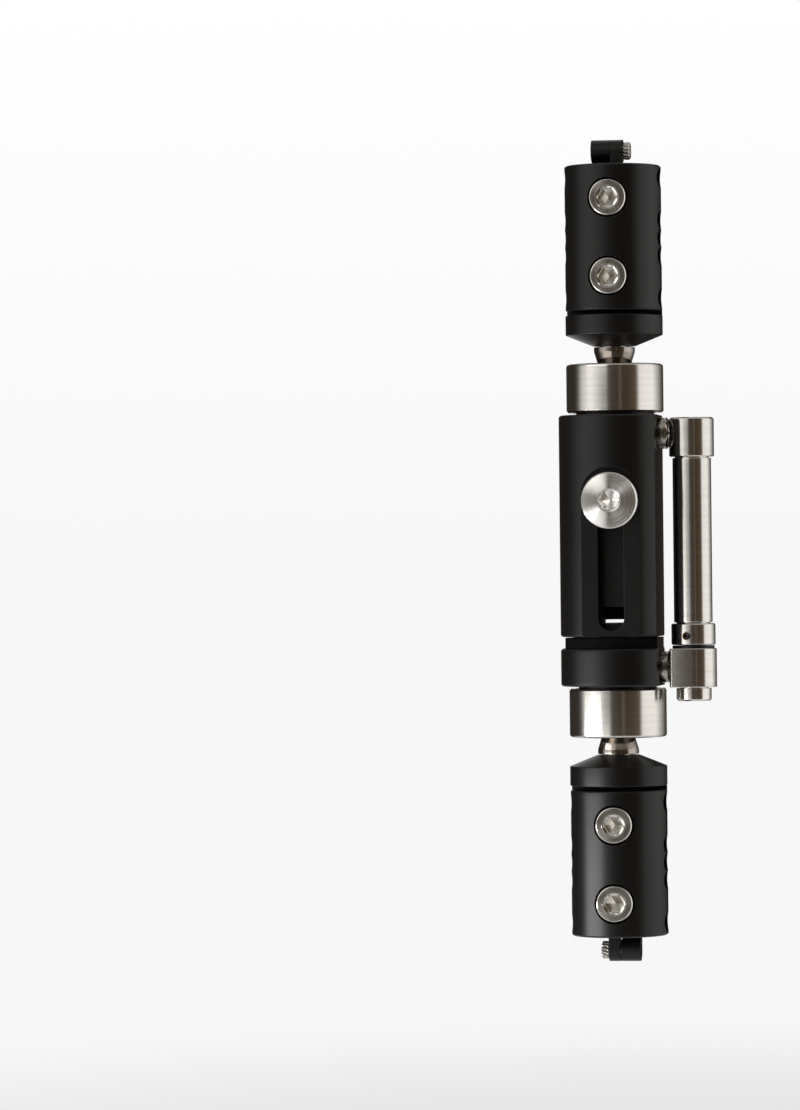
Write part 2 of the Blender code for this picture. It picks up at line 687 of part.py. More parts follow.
def sleeve_body(name):
    """The female half of the telescope: ball seat above, bore and front slot below."""
    spigot_top = UPPER_BALL - SPIGOT_DROP
    outline = [
        (0.0, spigot_top),
        (SPIGOT_RADIUS - SPIGOT_CHAMFER, spigot_top),
        (SPIGOT_RADIUS, spigot_top - SPIGOT_CHAMFER),
        (SPIGOT_RADIUS, SLEEVE_TOP),
        (SLEEVE_RADIUS - SLEEVE_CHAMFER, SLEEVE_TOP),
        (SLEEVE_RADIUS, SLEEVE_TOP - SLEEVE_CHAMFER),
        (SLEEVE_RADIUS, SLEEVE_BOTTOM + SLEEVE_CHAMFER),
        (SLEEVE_RADIUS - SLEEVE_CHAMFER, SLEEVE_BOTTOM),
        (0.0, SLEEVE_BOTTOM),
    ]
    sleeve = turned(name, outline)
    reach = SLEEVE_RADIUS + OVERSHOOT
    below = SLEEVE_BOTTOM - OVERSHOOT
    cut(sleeve, side_flat_cutter(f"{name}_flat", below, SLEEVE_TOP + COLLAR_GAP / 2))
    cup_floor = UPPER_BALL - CUP_END_DROP - CLEARANCE
    cut(
        sleeve,
        rod(f"{name}_cup_bore", CUP_BORE, cup_floor, spigot_top + OVERSHOOT, UPPER, LARGE_STEPS),
        *cam_cutters(name, UPPER_CAM),
        rod(f"{name}_bore", BAR_RADIUS + CLEARANCE, below, BAR_BORE_TOP, UPPER, LARGE_STEPS),
    )
    channel = oblong(
        f"{name}_channel",
        CHANNEL_RADIUS,
        below - CHANNEL_RADIUS,
        LOCK_HEIGHT,
        CHANNEL_FLOOR,
        reach,
        steps=LARGE_STEPS,
    )
    slot_low = SLOT_END + SLOT_WIDTH / 2
    slot = oblong(f"{name}_slot", SLOT_WIDTH / 2, slot_low, LOCK_HEIGHT, BAR_RADIUS / 2, reach)
    window = box(
        f"{name}_rear_window",
        (-REAR_WINDOW_WIDTH / 2, BAR_RADIUS / 2, SLEEVE_BOTTOM + REAR_WINDOW_RISE),
        (REAR_WINDOW_WIDTH / 2, reach, SLEEVE_BOTTOM + REAR_WINDOW_RISE + REAR_WINDOW_HEIGHT),
    )
    cut(sleeve, channel, slot, window)
    return finish(sleeve, "black")


def slider_bar(name):
    """The male half of the telescope: bar, neck, ring and the lower ball seat in one piece."""
    spigot_end = LOWER_BALL + SPIGOT_DROP
    outline = [
        (0.0, BAR_TOP),
        (BAR_RADIUS - SLEEVE_CHAMFER, BAR_TOP),
        (BAR_RADIUS, BAR_TOP - SLEEVE_CHAMFER),
        (BAR_RADIUS, NECK_TOP),
        (NECK_RADIUS, NECK_TOP),
        (NECK_RADIUS, SLIDER_RING_TOP),
        (SLEEVE_RADIUS - SLEEVE_CHAMFER, SLIDER_RING_TOP),
        (SLEEVE_RADIUS, SLIDER_RING_TOP - SLEEVE_CHAMFER),
        (SLEEVE_RADIUS, SLIDER_RING_BOTTOM + SLEEVE_CHAMFER),
        (SLEEVE_RADIUS - SLEEVE_CHAMFER, SLIDER_RING_BOTTOM),
        (SPIGOT_RADIUS, SLIDER_RING_BOTTOM),
        (SPIGOT_RADIUS, spigot_end + SPIGOT_CHAMFER),
        (SPIGOT_RADIUS - SPIGOT_CHAMFER, spigot_end),
        (0.0, spigot_end),
    ]
    bar = turned(name, outline)
    flat_low = SLIDER_RING_BOTTOM - COLLAR_GAP / 2
    cut(bar, side_flat_cutter(f"{name}_flat", flat_low, NECK_TOP + OVERSHOOT))
    cup_floor = LOWER_BALL + CUP_END_DROP + CLEARANCE
    cut(
        bar,
        rod(f"{name}_cup_bore", CUP_BORE, spigot_end - OVERSHOOT, cup_floor, UPPER, LARGE_STEPS),
        *cam_cutters(name, LOWER_CAM),
    )
    reach = BAR_RADIUS + OVERSHOOT
    high = BAR_TOP + OVERSHOOT
    key_flat = box(f"{name}_key_flat", (-reach, -reach, NECK_TOP), (reach, -BAR_FLAT, high))
    window_low = NECK_TOP + BAR_WINDOW_ABOVE_NECK
    window = box(
        f"{name}_window",
        (-BAR_WINDOW_WIDTH / 2, -reach, window_low),
        (BAR_WINDOW_WIDTH / 2, reach, window_low + BAR_WINDOW_HEIGHT),
    )
    line = Matrix.Translation((0, 0, LOCK_HEIGHT)) @ ALONG_MINUS_Y
    thread = LOCK_SHANK_RADIUS + CLEARANCE
    hole = rod(f"{name}_lock_hole", thread, lock_tip() - CLEARANCE, reach, line)
    cut(bar, key_flat, window, hole)
    return finish(bar, "black")


def lock_tip():
    """How far in front of the axis the lock screw's shank ends."""
    return CHANNEL_FLOOR + CLEARANCE - LOCK_SHANK_LENGTH


def lock_screw(name):
    """The body lock screw, with a wide head whose turned face rises to its middle."""
    line = Matrix.Translation((0, 0, LOCK_HEIGHT)) @ ALONG_MINUS_Y
    under = CHANNEL_FLOOR + CLEARANCE
    rim = under + LOCK_HEAD_RIM
    crown = rim + LOCK_HEAD_CROWN
    tip = lock_tip()
    outline = [
        (0.0, crown - LOCK_RECESS_DEPTH),
        (LOCK_RECESS_RADIUS, crown - LOCK_RECESS_DEPTH),
        (LOCK_RECESS_RADIUS, crown),
        (LOCK_HEAD_RADIUS - LOCK_HEAD_CHAMFER, rim),
        (LOCK_HEAD_RADIUS, rim - LOCK_HEAD_CHAMFER),
        (LOCK_HEAD_RADIUS, under),
        (LOCK_SHANK_RADIUS, under),
        (LOCK_SHANK_RADIUS, tip + CLAMP_CHAMFER),
        (LOCK_SHANK_RADIUS - CLAMP_CHAMFER, tip),
        (0.0, tip),
    ]
    screw = turned(name, outline, line, LARGE_STEPS)
    cut(screw, hexagon(f"{name}_hex", LOCK_HEX, crown - LOCK_HEX_DEPTH, crown + OVERSHOOT, line))
    return finish(screw, "screw_steel", line @ Vector((0, 0, 0)))


def guide_key(name):
    """The key under the lock screw's head that stops the bar from turning in the sleeve."""
    half = SLOT_WIDTH / 2 - CLEARANCE
    inner = BAR_FLAT + CLEARANCE
    outer = CHANNEL_FLOOR - CLEARANCE
    low = LOCK_HEIGHT - KEY_LENGTH + 2 * half
    key = oblong(name, half, low, LOCK_HEIGHT, inner, outer, steps=SMALL_STEPS)
    line = Matrix.Translation((0, 0, LOCK_HEIGHT)) @ ALONG_MINUS_Y
    bore = LOCK_SHANK_RADIUS + NARROW_CLEARANCE
    cut(key, rod(f"{name}_bore", bore, BAR_RADIUS / 2, SLEEVE_RADIUS, line))
    return finish(key, "turned_steel")


def unit_places():
    """Heights of the distraction unit's pieces, from its cap down to its block."""
    cap_top = UPPER_CAM + CAP_ABOVE_CAM
    cap_bottom = cap_top - CAP_LENGTH
    block_top = LOWER_CAM + BLOCK_ABOVE_CAM
    collar_bottom = block_top + UNIT_COLLAR_TO_BLOCK
    collar_top = collar_bottom + UNIT_COLLAR_LENGTH
    return cap_top, cap_bottom, collar_top, collar_bottom, block_top, block_top - BLOCK_HEIGHT


def unit_cap(name):
    """The closed cap on the unit's upper end, which carries the upper coupling pin."""
    cap_top, cap_bottom, *_ = unit_places()
    bore = UNIT_TUBE_SPIGOT_RADIUS + CLEARANCE
    depth = cap_bottom + UNIT_TUBE_SPIGOT_LENGTH + CLEARANCE
    outline = [
        (0.0, cap_top),
        (CAP_RADIUS - CAP_CHAMFER, cap_top),
        (CAP_RADIUS, cap_top - CAP_CHAMFER),
        (CAP_RADIUS, cap_bottom + CLEARANCE),
        (CAP_RADIUS - CLEARANCE, cap_bottom),
        (bore, cap_bottom),
        (bore, depth),
        (0.0, depth),
    ]
    cap = turned(name, outline, UNIT, MEDIUM_STEPS)
    cut(cap, pin_hole(name, UPPER_CAM, CAP_RADIUS))
    return finish(cap, "turned_steel")


def pin_hole(name, height, face):
    """The hole for a coupling pin in the unit's inner side; face is that side's distance."""
    line = Matrix.Translation((0, 0, height)) @ ALONG_X
    start = UNIT_OFFSET - face
    return rod(f"{name}_pin_hole", PIN_RADIUS + CLEARANCE, start - OVERSHOOT, start + PIN_SEAT_DEPTH, line)


def coupling_pin(name, height, face):
    """A round pin from the unit into the socket of a cam's head."""
    head_face = cam_stations()[-1]
    line = Matrix.Translation((0, 0, height)) @ ALONG_X
    start = head_face - PIN_SOCKET_DEPTH
    end = UNIT_OFFSET - face + PIN_SEAT_DEPTH - CLEARANCE
    chamfer = CLEARANCE
    outline = [
        (0.0, end),
        (PIN_RADIUS, end),
        (PIN_RADIUS, start + chamfer),
        (PIN_RADIUS - chamfer, start),
        (0.0, start),
    ]
    return finish(turned(name, outline, line, SMALL_STEPS), "turned_steel")


def unit_tube(name):
    """The unit's barrel, with a spigot at each end."""
    _, cap_bottom, collar_top, *_ = unit_places()
    top = cap_bottom - CLEARANCE
    bottom = collar_top + CLEARANCE
    spigot = UNIT_TUBE_SPIGOT_LENGTH
    outline = [
        (UNIT_TUBE_BORE, top + spigot),
        (UNIT_TUBE_SPIGOT_RADIUS, top + spigot),
        (UNIT_TUBE_SPIGOT_RADIUS, top),
        (UNIT_TUBE_RADIUS, top),
        (UNIT_TUBE_RADIUS, bottom),
        (UNIT_TUBE_SPIGOT_RADIUS, bottom),
        (UNIT_TUBE_SPIGOT_RADIUS, bottom - spigot),
        (UNIT_TUBE_BORE, bottom - spigot),
    ]
    return finish(turned(name, outline, UNIT, MEDIUM_STEPS, closed=True), "turned_steel")


def unit_collar(name):
    """The collar at the barrel's lower end, which holds the drive nut."""
    _, _, top, bottom, *_ = unit_places()
    bore = UNIT_TUBE_SPIGOT_RADIUS + CLEARANCE
    lip = DRIVE_THREAD_RADIUS + 2 * CLEARANCE
    outline = [
        (bore, top),
        (UNIT_COLLAR_RADIUS - CLEARANCE, top),
        (UNIT_COLLAR_RADIUS, top - CLEARANCE),
        (UNIT_COLLAR_RADIUS, bottom + CLEARANCE),
        (UNIT_COLLAR_RADIUS - CLEARANCE, bottom),
        (lip, bottom),
        (lip, bottom + UNIT_COLLAR_LIP),
        (bore, bottom + UNIT_COLLAR_LIP),
    ]
    collar = turned(name, outline, UNIT, MEDIUM_STEPS, closed=True)
    hole = GRUB_RADIUS + CLEARANCE
    reach = UNIT_COLLAR_RADIUS + OVERSHOOT
    line = grub_line(bottom)
    cut(collar, rod(f"{name}_grub_hole", hole, UNIT_TUBE_SPIGOT_RADIUS, reach, line))
    return finish(collar, "turned_steel")


def grub_line(bottom):
    """The grub screw's own frame: +Z points out of the collar's front."""
    turn = Matrix.Rotation(GRUB_ANGLE, 4, "Z")
    return UNIT @ Matrix.Translation((0, 0, bottom + GRUB_RISE)) @ turn @ ALONG_X


def grub_screw(name):
    """The small screw that keeps the drive nut from turning."""
    _, _, _, bottom, *_ = unit_places()
    start = UNIT_TUBE_SPIGOT_RADIUS + CLEARANCE
    screw = rod(name, GRUB_RADIUS, start, start + GRUB_LENGTH, grub_line(bottom))
    return finish(screw, "screw_steel")


def drive_nut(name):
    """The threaded bush in the collar that the drive screw turns in."""
    _, _, collar_top, bottom, *_ = unit_places()
    top = collar_top - UNIT_TUBE_SPIGOT_LENGTH
    low = bottom + UNIT_COLLAR_LIP + CLEARANCE
    bore = DRIVE_THREAD_RADIUS + CLEARANCE
    outline = [
        (bore, top),
        (UNIT_TUBE_SPIGOT_RADIUS, top),
        (UNIT_TUBE_SPIGOT_RADIUS, low),
        (bore, low),
    ]
    return finish(turned(name, outline, UNIT, MEDIUM_STEPS, closed=True), "bronze")


def unit_block(name):
    """The lower block: square towards the body, round outside, and bored for the drive screw."""
    *_, top, bottom = unit_places()
    inner = BLOCK_RADIUS - CLEARANCE
    outline = [(-inner, BLOCK_RADIUS), (-inner, -BLOCK_RADIUS)]
    outline += arc((0.0, 0.0), BLOCK_RADIUS, -90.0, 90.0, LARGE_STEPS // 2)
    block = slab(name, outline, bottom, top, UNIT)
    journal = DRIVE_JOURNAL_RADIUS + CLEARANCE
    ledge = top - BLOCK_LIP
    recess = DRIVE_JOURNAL_RADIUS + RING_WIDTH
    ring_top = bottom + 2 * CLEARANCE + RING_THICKNESS
    passage = DRIVE_THREAD_RADIUS + CLEARANCE
    cut(
        block,
        rod(f"{name}_passage", passage, ledge - OVERSHOOT, top + OVERSHOOT, UNIT),
        rod(f"{name}_journal", journal, bottom - OVERSHOOT, ledge, UNIT, MEDIUM_STEPS),
        rod(f"{name}_recess", recess, bottom - OVERSHOOT, ring_top, UNIT, MEDIUM_STEPS),
        pin_hole(name, LOWER_CAM, inner),
    )
    return finish(block, "turned_steel")


def drive_screw(name):
    """The long screw that the key turns: thread in the nut, journal in the block, head below."""
    *_, top, bottom = unit_places()
    ledge = top - BLOCK_LIP
    groove_top = bottom + 2 * CLEARANCE + RING_THICKNESS
    groove_low = bottom + CLEARANCE - NARROW_CLEARANCE
    groove = DRIVE_JOURNAL_RADIUS - RING_GROOVE_DEPTH
    head_top = bottom - CLEARANCE
    end = bottom - DRIVE_HEAD_REACH
    thread_top = top + DRIVE_THREAD_LENGTH
    outline = [
        (0.0, thread_top),
        (DRIVE_THREAD_RADIUS - CLEARANCE, thread_top),
        (DRIVE_THREAD_RADIUS, thread_top - CLEARANCE),
        (DRIVE_THREAD_RADIUS, ledge - CLEARANCE),
        (DRIVE_JOURNAL_RADIUS, ledge - CLEARANCE),
        (DRIVE_JOURNAL_RADIUS, groove_top),
        (groove, groove_top),
        (groove, groove_low),
        (DRIVE_JOURNAL_RADIUS, groove_low),
        (DRIVE_JOURNAL_RADIUS, head_top),
        (DRIVE_HEAD_RADIUS, head_top),
        (DRIVE_HEAD_RADIUS, end + DRIVE_HEAD_CHAMFER),
        (DRIVE_HEAD_RADIUS - DRIVE_HEAD_CHAMFER, end),
        (0.0, end),
    ]
    screw = turned(name, outline, UNIT, MEDIUM_STEPS)
    cut(screw, hexagon(f"{name}_hex", DRIVE_HEX, end - OVERSHOOT, end + DRIVE_HEX_DEPTH, UNIT))
    return finish(screw, "turned_steel")


def retaining_ring(name):
    """The ring that keeps the drive screw in the block."""
    *_, bottom = unit_places()
    low = bottom + CLEARANCE
    inner = DRIVE_JOURNAL_RADIUS - RING_GROOVE_DEPTH + NARROW_CLEARANCE
    outer = DRIVE_JOURNAL_RADIUS + RING_WIDTH - CLEARANCE
    outline = [
        (inner, low + RING_THICKNESS),
        (outer, low + RING_THICKNESS),
        (outer, low),
        (inner, low),
    ]
    return finish(turned(name, outline, UNIT, MEDIUM_STEPS, closed=True), "screw_steel")


def pin_clamp(side, place):
    """One complete pin clamp, its ball stud and the two pieces round the ball."""
    clamp_body(f"{side}_clamp_body", place)
    clamp_cover(f"{side}_clamp_cover", place)
    hinge_screw(f"{side}_hinge_screw", place)
    for end, height in (("outer", BOLT_OFFSET), ("inner", -BOLT_OFFSET)):
        clamp_bolt(f"{side}_{end}_bolt", height, place)
        clamp_washer(f"{side}_{end}_washer", height, place)
    ball_stud(f"{side}_ball_stud", place)
    ball_collar(f"{side}_ball_collar", place)
    ball_cup(f"{side}_ball_cup", place)


def telescoping_body():
    sleeve_body("sleeve_body")
    slider_bar("slider_bar")
    lock_screw("body_lock_screw")
    guide_key("guide_key")
    locking_cam("upper_locking_cam", UPPER_CAM, -1.0)
    locking_cam("lower_locking_cam", LOWER_CAM, 1.0)


def distraction_unit():
    unit_cap("unit_cap")
    unit_tube("unit_tube")
    unit_collar("unit_collar")
    grub_screw("grub_screw")
    drive_nut("drive_nut")
    unit_block("unit_block")
    drive_screw("drive_screw")
    retaining_ring("retaining_ring")
    coupling_pin("upper_coupling_pin", UPPER_CAM, CAP_RADIUS)
    coupling_pin("lower_coupling_pin", LOWER_CAM, BLOCK_RADIUS - CLEARANCE)


pin_clamp("upper", UPPER)
pin_clamp("lower", LOWER)
telescoping_body()
distraction_unit()
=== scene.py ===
"""Looks of the external fixator: fine meshes, finishes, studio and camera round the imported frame.

Sizes in the drawings below are millimetres in the part's own frame: +Z up the fixator, -Y its
front, +X the side of the distraction unit, and the origin in the upper clamp's middle pin seat.
"""
import json
import math

import bmesh
import bpy
from mathutils import Matrix, Vector

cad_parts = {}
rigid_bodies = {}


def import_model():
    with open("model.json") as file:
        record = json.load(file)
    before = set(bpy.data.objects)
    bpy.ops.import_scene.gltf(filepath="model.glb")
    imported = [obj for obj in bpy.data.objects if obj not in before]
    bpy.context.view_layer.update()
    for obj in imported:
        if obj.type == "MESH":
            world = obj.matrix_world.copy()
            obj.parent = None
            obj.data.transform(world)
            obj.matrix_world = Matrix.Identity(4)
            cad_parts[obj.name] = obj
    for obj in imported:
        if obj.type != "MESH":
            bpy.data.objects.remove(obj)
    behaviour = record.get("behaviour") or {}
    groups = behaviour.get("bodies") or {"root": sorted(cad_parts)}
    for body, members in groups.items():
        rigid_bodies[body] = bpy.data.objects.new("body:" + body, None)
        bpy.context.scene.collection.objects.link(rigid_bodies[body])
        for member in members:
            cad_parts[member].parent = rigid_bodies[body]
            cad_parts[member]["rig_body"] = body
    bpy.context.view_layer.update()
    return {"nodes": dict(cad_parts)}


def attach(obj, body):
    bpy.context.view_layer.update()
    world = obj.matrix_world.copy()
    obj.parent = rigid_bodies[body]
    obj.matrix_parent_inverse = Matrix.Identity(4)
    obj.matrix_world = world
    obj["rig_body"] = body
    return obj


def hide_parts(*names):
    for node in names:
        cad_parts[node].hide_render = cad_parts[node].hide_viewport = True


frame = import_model()

MM = 0.001

# Steps round a fine circle, half of one, a small and a tiny circle, and a knurled head
FINE_STEPS = 120
HALF_STEPS = FINE_STEPS // 2
SMALL_STEPS = 72
TINY_STEPS = 48
KNURL_STEPS = 240
FILLET_STEPS = 6
SHARP_ANGLE = math.radians(20.0)
# Points nearer than this, in metres, are one point
WELD = 1e-8

# A cutter is turned a little, so that its corners miss those of what it cuts
CUTTER_TURN = math.radians(1.7)
# The most of a side that a fillet may take
FILLET_SHARE = 0.49
# How steep a thread's flanks are, and how far they reach over the crest, which is cut flat
THREAD_FLANK = 2.3
THREAD_RISE = 1.15

# The frames that pieces are drawn in; the lower clamp is the upper one turned over
LOWER_CLAMP = -180.6
UNIT_OFFSET = 22.2
QUARTER = math.radians(90.0)
UPPER = Matrix.Identity(4)
LOWER = Matrix.Translation((0.0, 0.0, LOWER_CLAMP * MM)) @ Matrix.Rotation(math.pi, 4, "Y")
UNIT = Matrix.Translation((UNIT_OFFSET * MM, 0.0, 0.0))
ALONG_X = Matrix.Rotation(QUARTER, 4, "Y")
ALONG_MINUS_Y = Matrix.Rotation(QUARTER, 4, "X")


def lifted(place, x=0.0, y=0.0, z=0.0):
    """A frame moved by millimetres along its own axes."""
    return place @ Matrix.Translation((x * MM, y * MM, z * MM))


# Drawing helpers


def arc(centre, radius, start, end, count):
    """Points on an arc of an outline, angles in degrees from the +radius direction."""
    points = []
    for i in range(count + 1):
        angle = math.radians(start + (end - start) * i / count)
        points.append((centre[0] + radius * math.cos(angle), centre[1] + radius * math.sin(angle)))
    return points


def rounded(points, closed=False):
    """An outline whose corners given as (radius, height, fillet) are replaced by curves."""
    out = []
    total = len(points)
    for i, point in enumerate(points):
        fillet = point[2] if len(point) > 2 and not isinstance(point[2], str) else 0.0
        if not fillet or (not closed and i in (0, total - 1)):
            out.append(point if len(point) == 2 or isinstance(point[-1], str) else point[:2])
            continue
        here = Vector(point[:2])
        back = Vector(points[i - 1][:2]) - here
        ahead = Vector(points[(i + 1) % total][:2]) - here
        half = back.angle(ahead) / 2
        reach = min(fillet / math.tan(half), back.length * FILLET_SHARE, ahead.length * FILLET_SHARE)
        start = here + back.normalized() * reach
        end = here + ahead.normalized() * reach
        for j in range(FILLET_STEPS + 1):
            t = j / FILLET_STEPS
            spot = start * (1 - t) ** 2 + here * 2 * t * (1 - t) + end * t**2
            out.append((spot.x, spot.y))
    return out


def straight(radius, start, end, pitch=1.5):
    """Points down a straight side, so that the shading stays true round what is cut from it."""
    count = max(1, round(abs(end - start) / pitch))
    return [(radius, start + (end - start) * i / count) for i in range(1, count)]


def hex_radius(flat, angle):
    """How far a hexagon's side lies from its middle at an angle; flat is half its width."""
    return flat / math.cos((angle % math.radians(60.0)) - math.radians(30.0))


def knurl_radius(radius, angle, ridges, depth):
    """How far a knurled rim lies from its middle at an angle."""
    return radius - depth * (0.5 - 0.5 * math.cos(ridges * angle)) ** 2


def lathe_mesh(outline, steps, closed=False, knurl=None):
    """Vertices and faces of a turned outline; a third entry makes a station a hexagon or knurl."""
    verts, rings, faces = [], [], []
    for point in outline:
        radius, height = point[:2]
        shape = point[2] if len(point) > 2 else ""
        if radius == 0.0:
            rings.append([len(verts)])
            verts.append((0.0, 0.0, height * MM))
            continue
        rings.append(list(range(len(verts), len(verts) + steps)))
        for i in range(steps):
            angle = 2 * math.pi * i / steps
            reach = radius
            if shape == "hex":
                reach = hex_radius(radius, angle)
            elif shape == "knurl":
                reach = knurl_radius(radius, angle, *knurl)
            verts.append((reach * MM * math.cos(angle), reach * MM * math.sin(angle), height * MM))
    pairs = list(zip(rings, rings[1:]))
    if closed:
        pairs.append((rings[-1], rings[0]))
    for low, high in pairs:
        for i in range(steps):
            j = (i + 1) % steps
            if len(low) == 1 and len(high) == 1:
                break
            if len(low) == 1:
                faces.append((low[0], high[i], high[j]))
            elif len(high) == 1:
                faces.append((low[i], high[0], low[j]))
            else:
                faces.append((low[i], high[i], high[j], low[j]))
    return verts, faces


def thread_mesh(crest, root, pitch, start, end, steps=TINY_STEPS, rows=8):
    """A right-hand V thread from start to end, faded into its core at both ends."""
    verts, faces = [], []
    count = max(2, round((end - start) / pitch * rows))
    for row in range(count + 1):
        height = start + (end - start) * row / count
        fade = min(1.0, (height - start) / pitch, (end - height) / pitch)
        for i in range(steps):
            turn = i / steps
            phase = (height / pitch - turn) % 1.0
            rise = max(0.0, 1.0 - abs(phase - 0.5) * THREAD_FLANK) * max(0.0, fade)
            reach = root + (crest - root) * min(1.0, rise * THREAD_RISE)
            angle = 2 * math.pi * turn
            verts.append((reach * MM * math.cos(angle), reach * MM * math.sin(angle), height * MM))
    for row in range(count):
        for i in range(steps):
            j = (i + 1) % steps
            a, b = row * steps, (row + 1) * steps
            faces.append((a + i, b + i, b + j, a + j))
    faces.append(tuple(range(steps)))
    faces.append(tuple(range(count * steps, (count + 1) * steps)))
    return verts, faces


def make_object(name, shells, place):
    """One object from several closed shells of (vertices, faces), placed by its own frame."""
    cage = bmesh.new()
    for verts, faces in shells:
        made = [cage.verts.new(v) for v in verts]
        for face in faces:
            cage.faces.new([made[i] for i in face])
    bmesh.ops.remove_doubles(cage, verts=cage.verts, dist=WELD)
    bmesh.ops.recalc_face_normals(cage, faces=cage.faces)
    mesh = bpy.data.meshes.new(name)
    cage.to_mesh(mesh)
    cage.free()
    item = bpy.data.objects.new(name, mesh)
    item.matrix_world = place
    bpy.context.scene.collection.objects.link(item)
    return item


def smooth(item):
    """Smooth shading that stays sharp at real edges."""
    item.data.shade_smooth()
    item.data.set_sharp_from_angle(angle=SHARP_ANGLE)


def turned(name, outline, place, steps=FINE_STEPS, closed=False, knurl=None):
    """A turned piece; a knurl is its number of ridges and their depth."""
    item = make_object(name, [lathe_mesh(rounded(outline, closed), steps, closed, knurl)], place)
    smooth(item)
    return item


# Solids that get cut


def rod(radius, start, end, place=UPPER, steps=SMALL_STEPS):
    """A cylinder along Z."""
    outline = [(0.0, start), (radius, start), (radius, end), (0.0, end)]
    spun = place @ Matrix.Rotation(CUTTER_TURN, 4, "Z")
    return make_object("cutter", [lathe_mesh(outline, steps)], spun)


def prism(outline, start, end, place):
    """A flat outline of (x, y) points made solid along Z."""
    count = len(outline)
    verts = [(x * MM, y * MM, z * MM) for z in (start, end) for x, y in outline]
    faces = [tuple(range(count)), tuple(range(count, 2 * count))]
    for i in range(count):
        j = (i + 1) % count
        faces.append((i, j, count + j, count + i))
    return make_object("cutter", [(verts, faces)], place)


def bevelled_prism(name, outline, start, end, bevel, place):
    """A prism whose end edges are bevelled, from an outline round the frame's own axis."""
    verts, faces = [], []
    count = len(outline)
    levels = ((start, bevel), (start + bevel, 0.0), (end - bevel, 0.0), (end, bevel))
    last = len(levels) - 1
    for z, inset in levels:
        for x, y in outline:
            scale = 1.0 - inset / math.hypot(x, y)
            verts.append((x * scale * MM, y * scale * MM, z * MM))
    for row in range(last):
        for i in range(count):
            j = (i + 1) % count
            a, b = row * count, (row + 1) * count
            faces.append((a + i, a + j, b + j, b + i))
    faces.append(tuple(range(count)))
    faces.append(tuple(range(last * count, (last + 1) * count)))
    return make_object(name, [(verts, faces)], place)


def box(low, high, place=UPPER):
    """A block between two corners."""
    corners = [(low[0], low[1]), (high[0], low[1]), (high[0], high[1]), (low[0], high[1])]
    return prism(corners, low[2], high[2], place)


def oblong(radius, low, high, inner, outer):
    """A round-ended bar seen from the front, from inner to outer in front of the axis."""
    outline = arc((0.0, high), radius, 0.0, 180.0, SMALL_STEPS // 2)
    outline += arc((0.0, low), radius, 180.0, 360.0, SMALL_STEPS // 2)
    return prism(outline, inner, outer, ALONG_MINUS_Y)


def carved(name, item, cuts=(), joins=()):
    """Give an object its joins and cuts, as a plain mesh under its name, and remove the tools."""
    steps = [(other, "UNION") for other in joins] + [(other, "DIFFERENCE") for other in cuts]
    for other, operation in steps:
        change = item.modifiers.new(operation, "BOOLEAN")
        change.operation = operation
        change.solver = "EXACT"
        change.object = other
    bpy.context.view_layer.update()
    solid = item.evaluated_get(bpy.context.evaluated_depsgraph_get())
    mesh = bpy.data.meshes.new_from_object(solid)
    item.modifiers.clear()
    item.data = mesh
    for other, _ in steps:
        bpy.data.objects.remove(other)
    item.name = name
    mesh.name = name


# Finishes

# Scales of the noises, in cells a metre
STEEL_RINGS = 5200.0
STEEL_BANDS = 700.0
STEEL_CLOUDS = 90.0
BLACK_GRAIN = 3800.0
BLACK_RINGS = 2600.0
BLACK_CLOUDS = 55.0
# Depth of the black finish's grain, and width of its worn edges, in metres
GRAIN_DEPTH = 0.000003
WORN_EDGE = 0.00028


def add(tree, kind, inputs=None, **settings):
    """A shader node with its settings, its input values and its links made in one call."""
    node = tree.nodes.new(kind)
    for key, value in settings.items():
        setattr(node, key, value)
    for key, value in (inputs or {}).items():
        if isinstance(value, bpy.types.NodeSocket):
            tree.links.new(value, node.inputs[key])
        else:
            node.inputs[key].default_value = value
    return node


def maths(tree, operation, first, second=0.0, clamp=False):
    """The result of a Math node."""
    node = add(tree, "ShaderNodeMath", {0: first, 1: second}, operation=operation, use_clamp=clamp)
    return node.outputs[0]


def new_material(name, **inputs):
    """A material, its nodes and its Principled shader, whose inputs are set by name."""
    made = bpy.data.materials.new(name)
    made.use_nodes = True
    shader = made.node_tree.nodes["Principled BSDF"]
    for key, value in inputs.items():
        shader.inputs[key.replace("_", " ")].default_value = value
    return made, made.node_tree, shader


def ring_coordinates(tree):
    """(distance from the piece's own axis, place along it), in metres, and the plain place."""
    place = add(tree, "ShaderNodeTexCoord").outputs["Object"]
    flat = add(tree, "ShaderNodeVectorMath", {0: place, 1: (1.0, 1.0, 0.0)}, operation="MULTIPLY")
    far = add(tree, "ShaderNodeVectorMath", {0: flat.outputs[0]}, operation="LENGTH")
    split = add(tree, "ShaderNodeSeparateXYZ", {0: place})
    both = add(tree, "ShaderNodeCombineXYZ", {0: far.outputs["Value"], 1: split.outputs["Z"]})
    return both.outputs[0], place


def noise(tree, vector, scale, detail=2.0, roughness=0.5, dimensions="3D"):
    """The value of a Noise Texture node."""
    node = add(
        tree,
        "ShaderNodeTexNoise",
        {"Vector": vector, "Scale": scale, "Detail": detail, "Roughness": roughness},
        noise_dimensions=dimensions,
    )
    return node.outputs[0]


def spread(tree, value, low, high, out_low, out_high):
    """A value mapped from one range to another and kept inside it."""
    node = add(
        tree,
        "ShaderNodeMapRange",
        {"Value": value, "From Min": low, "From Max": high, "To Min": out_low, "To Max": out_high},
    )
    return node.outputs[0]


def blend_colours(tree, factor, first, second):
    """The colour of a Mix node."""
    node = add(tree, "ShaderNodeMix", data_type="RGBA")
    for socket, value in ((node.inputs[0], factor), (node.inputs[6], first), (node.inputs[7], second)):
        if isinstance(value, bpy.types.NodeSocket):
            tree.links.new(value, socket)
        else:
            socket.default_value = value
    return node.outputs[2]


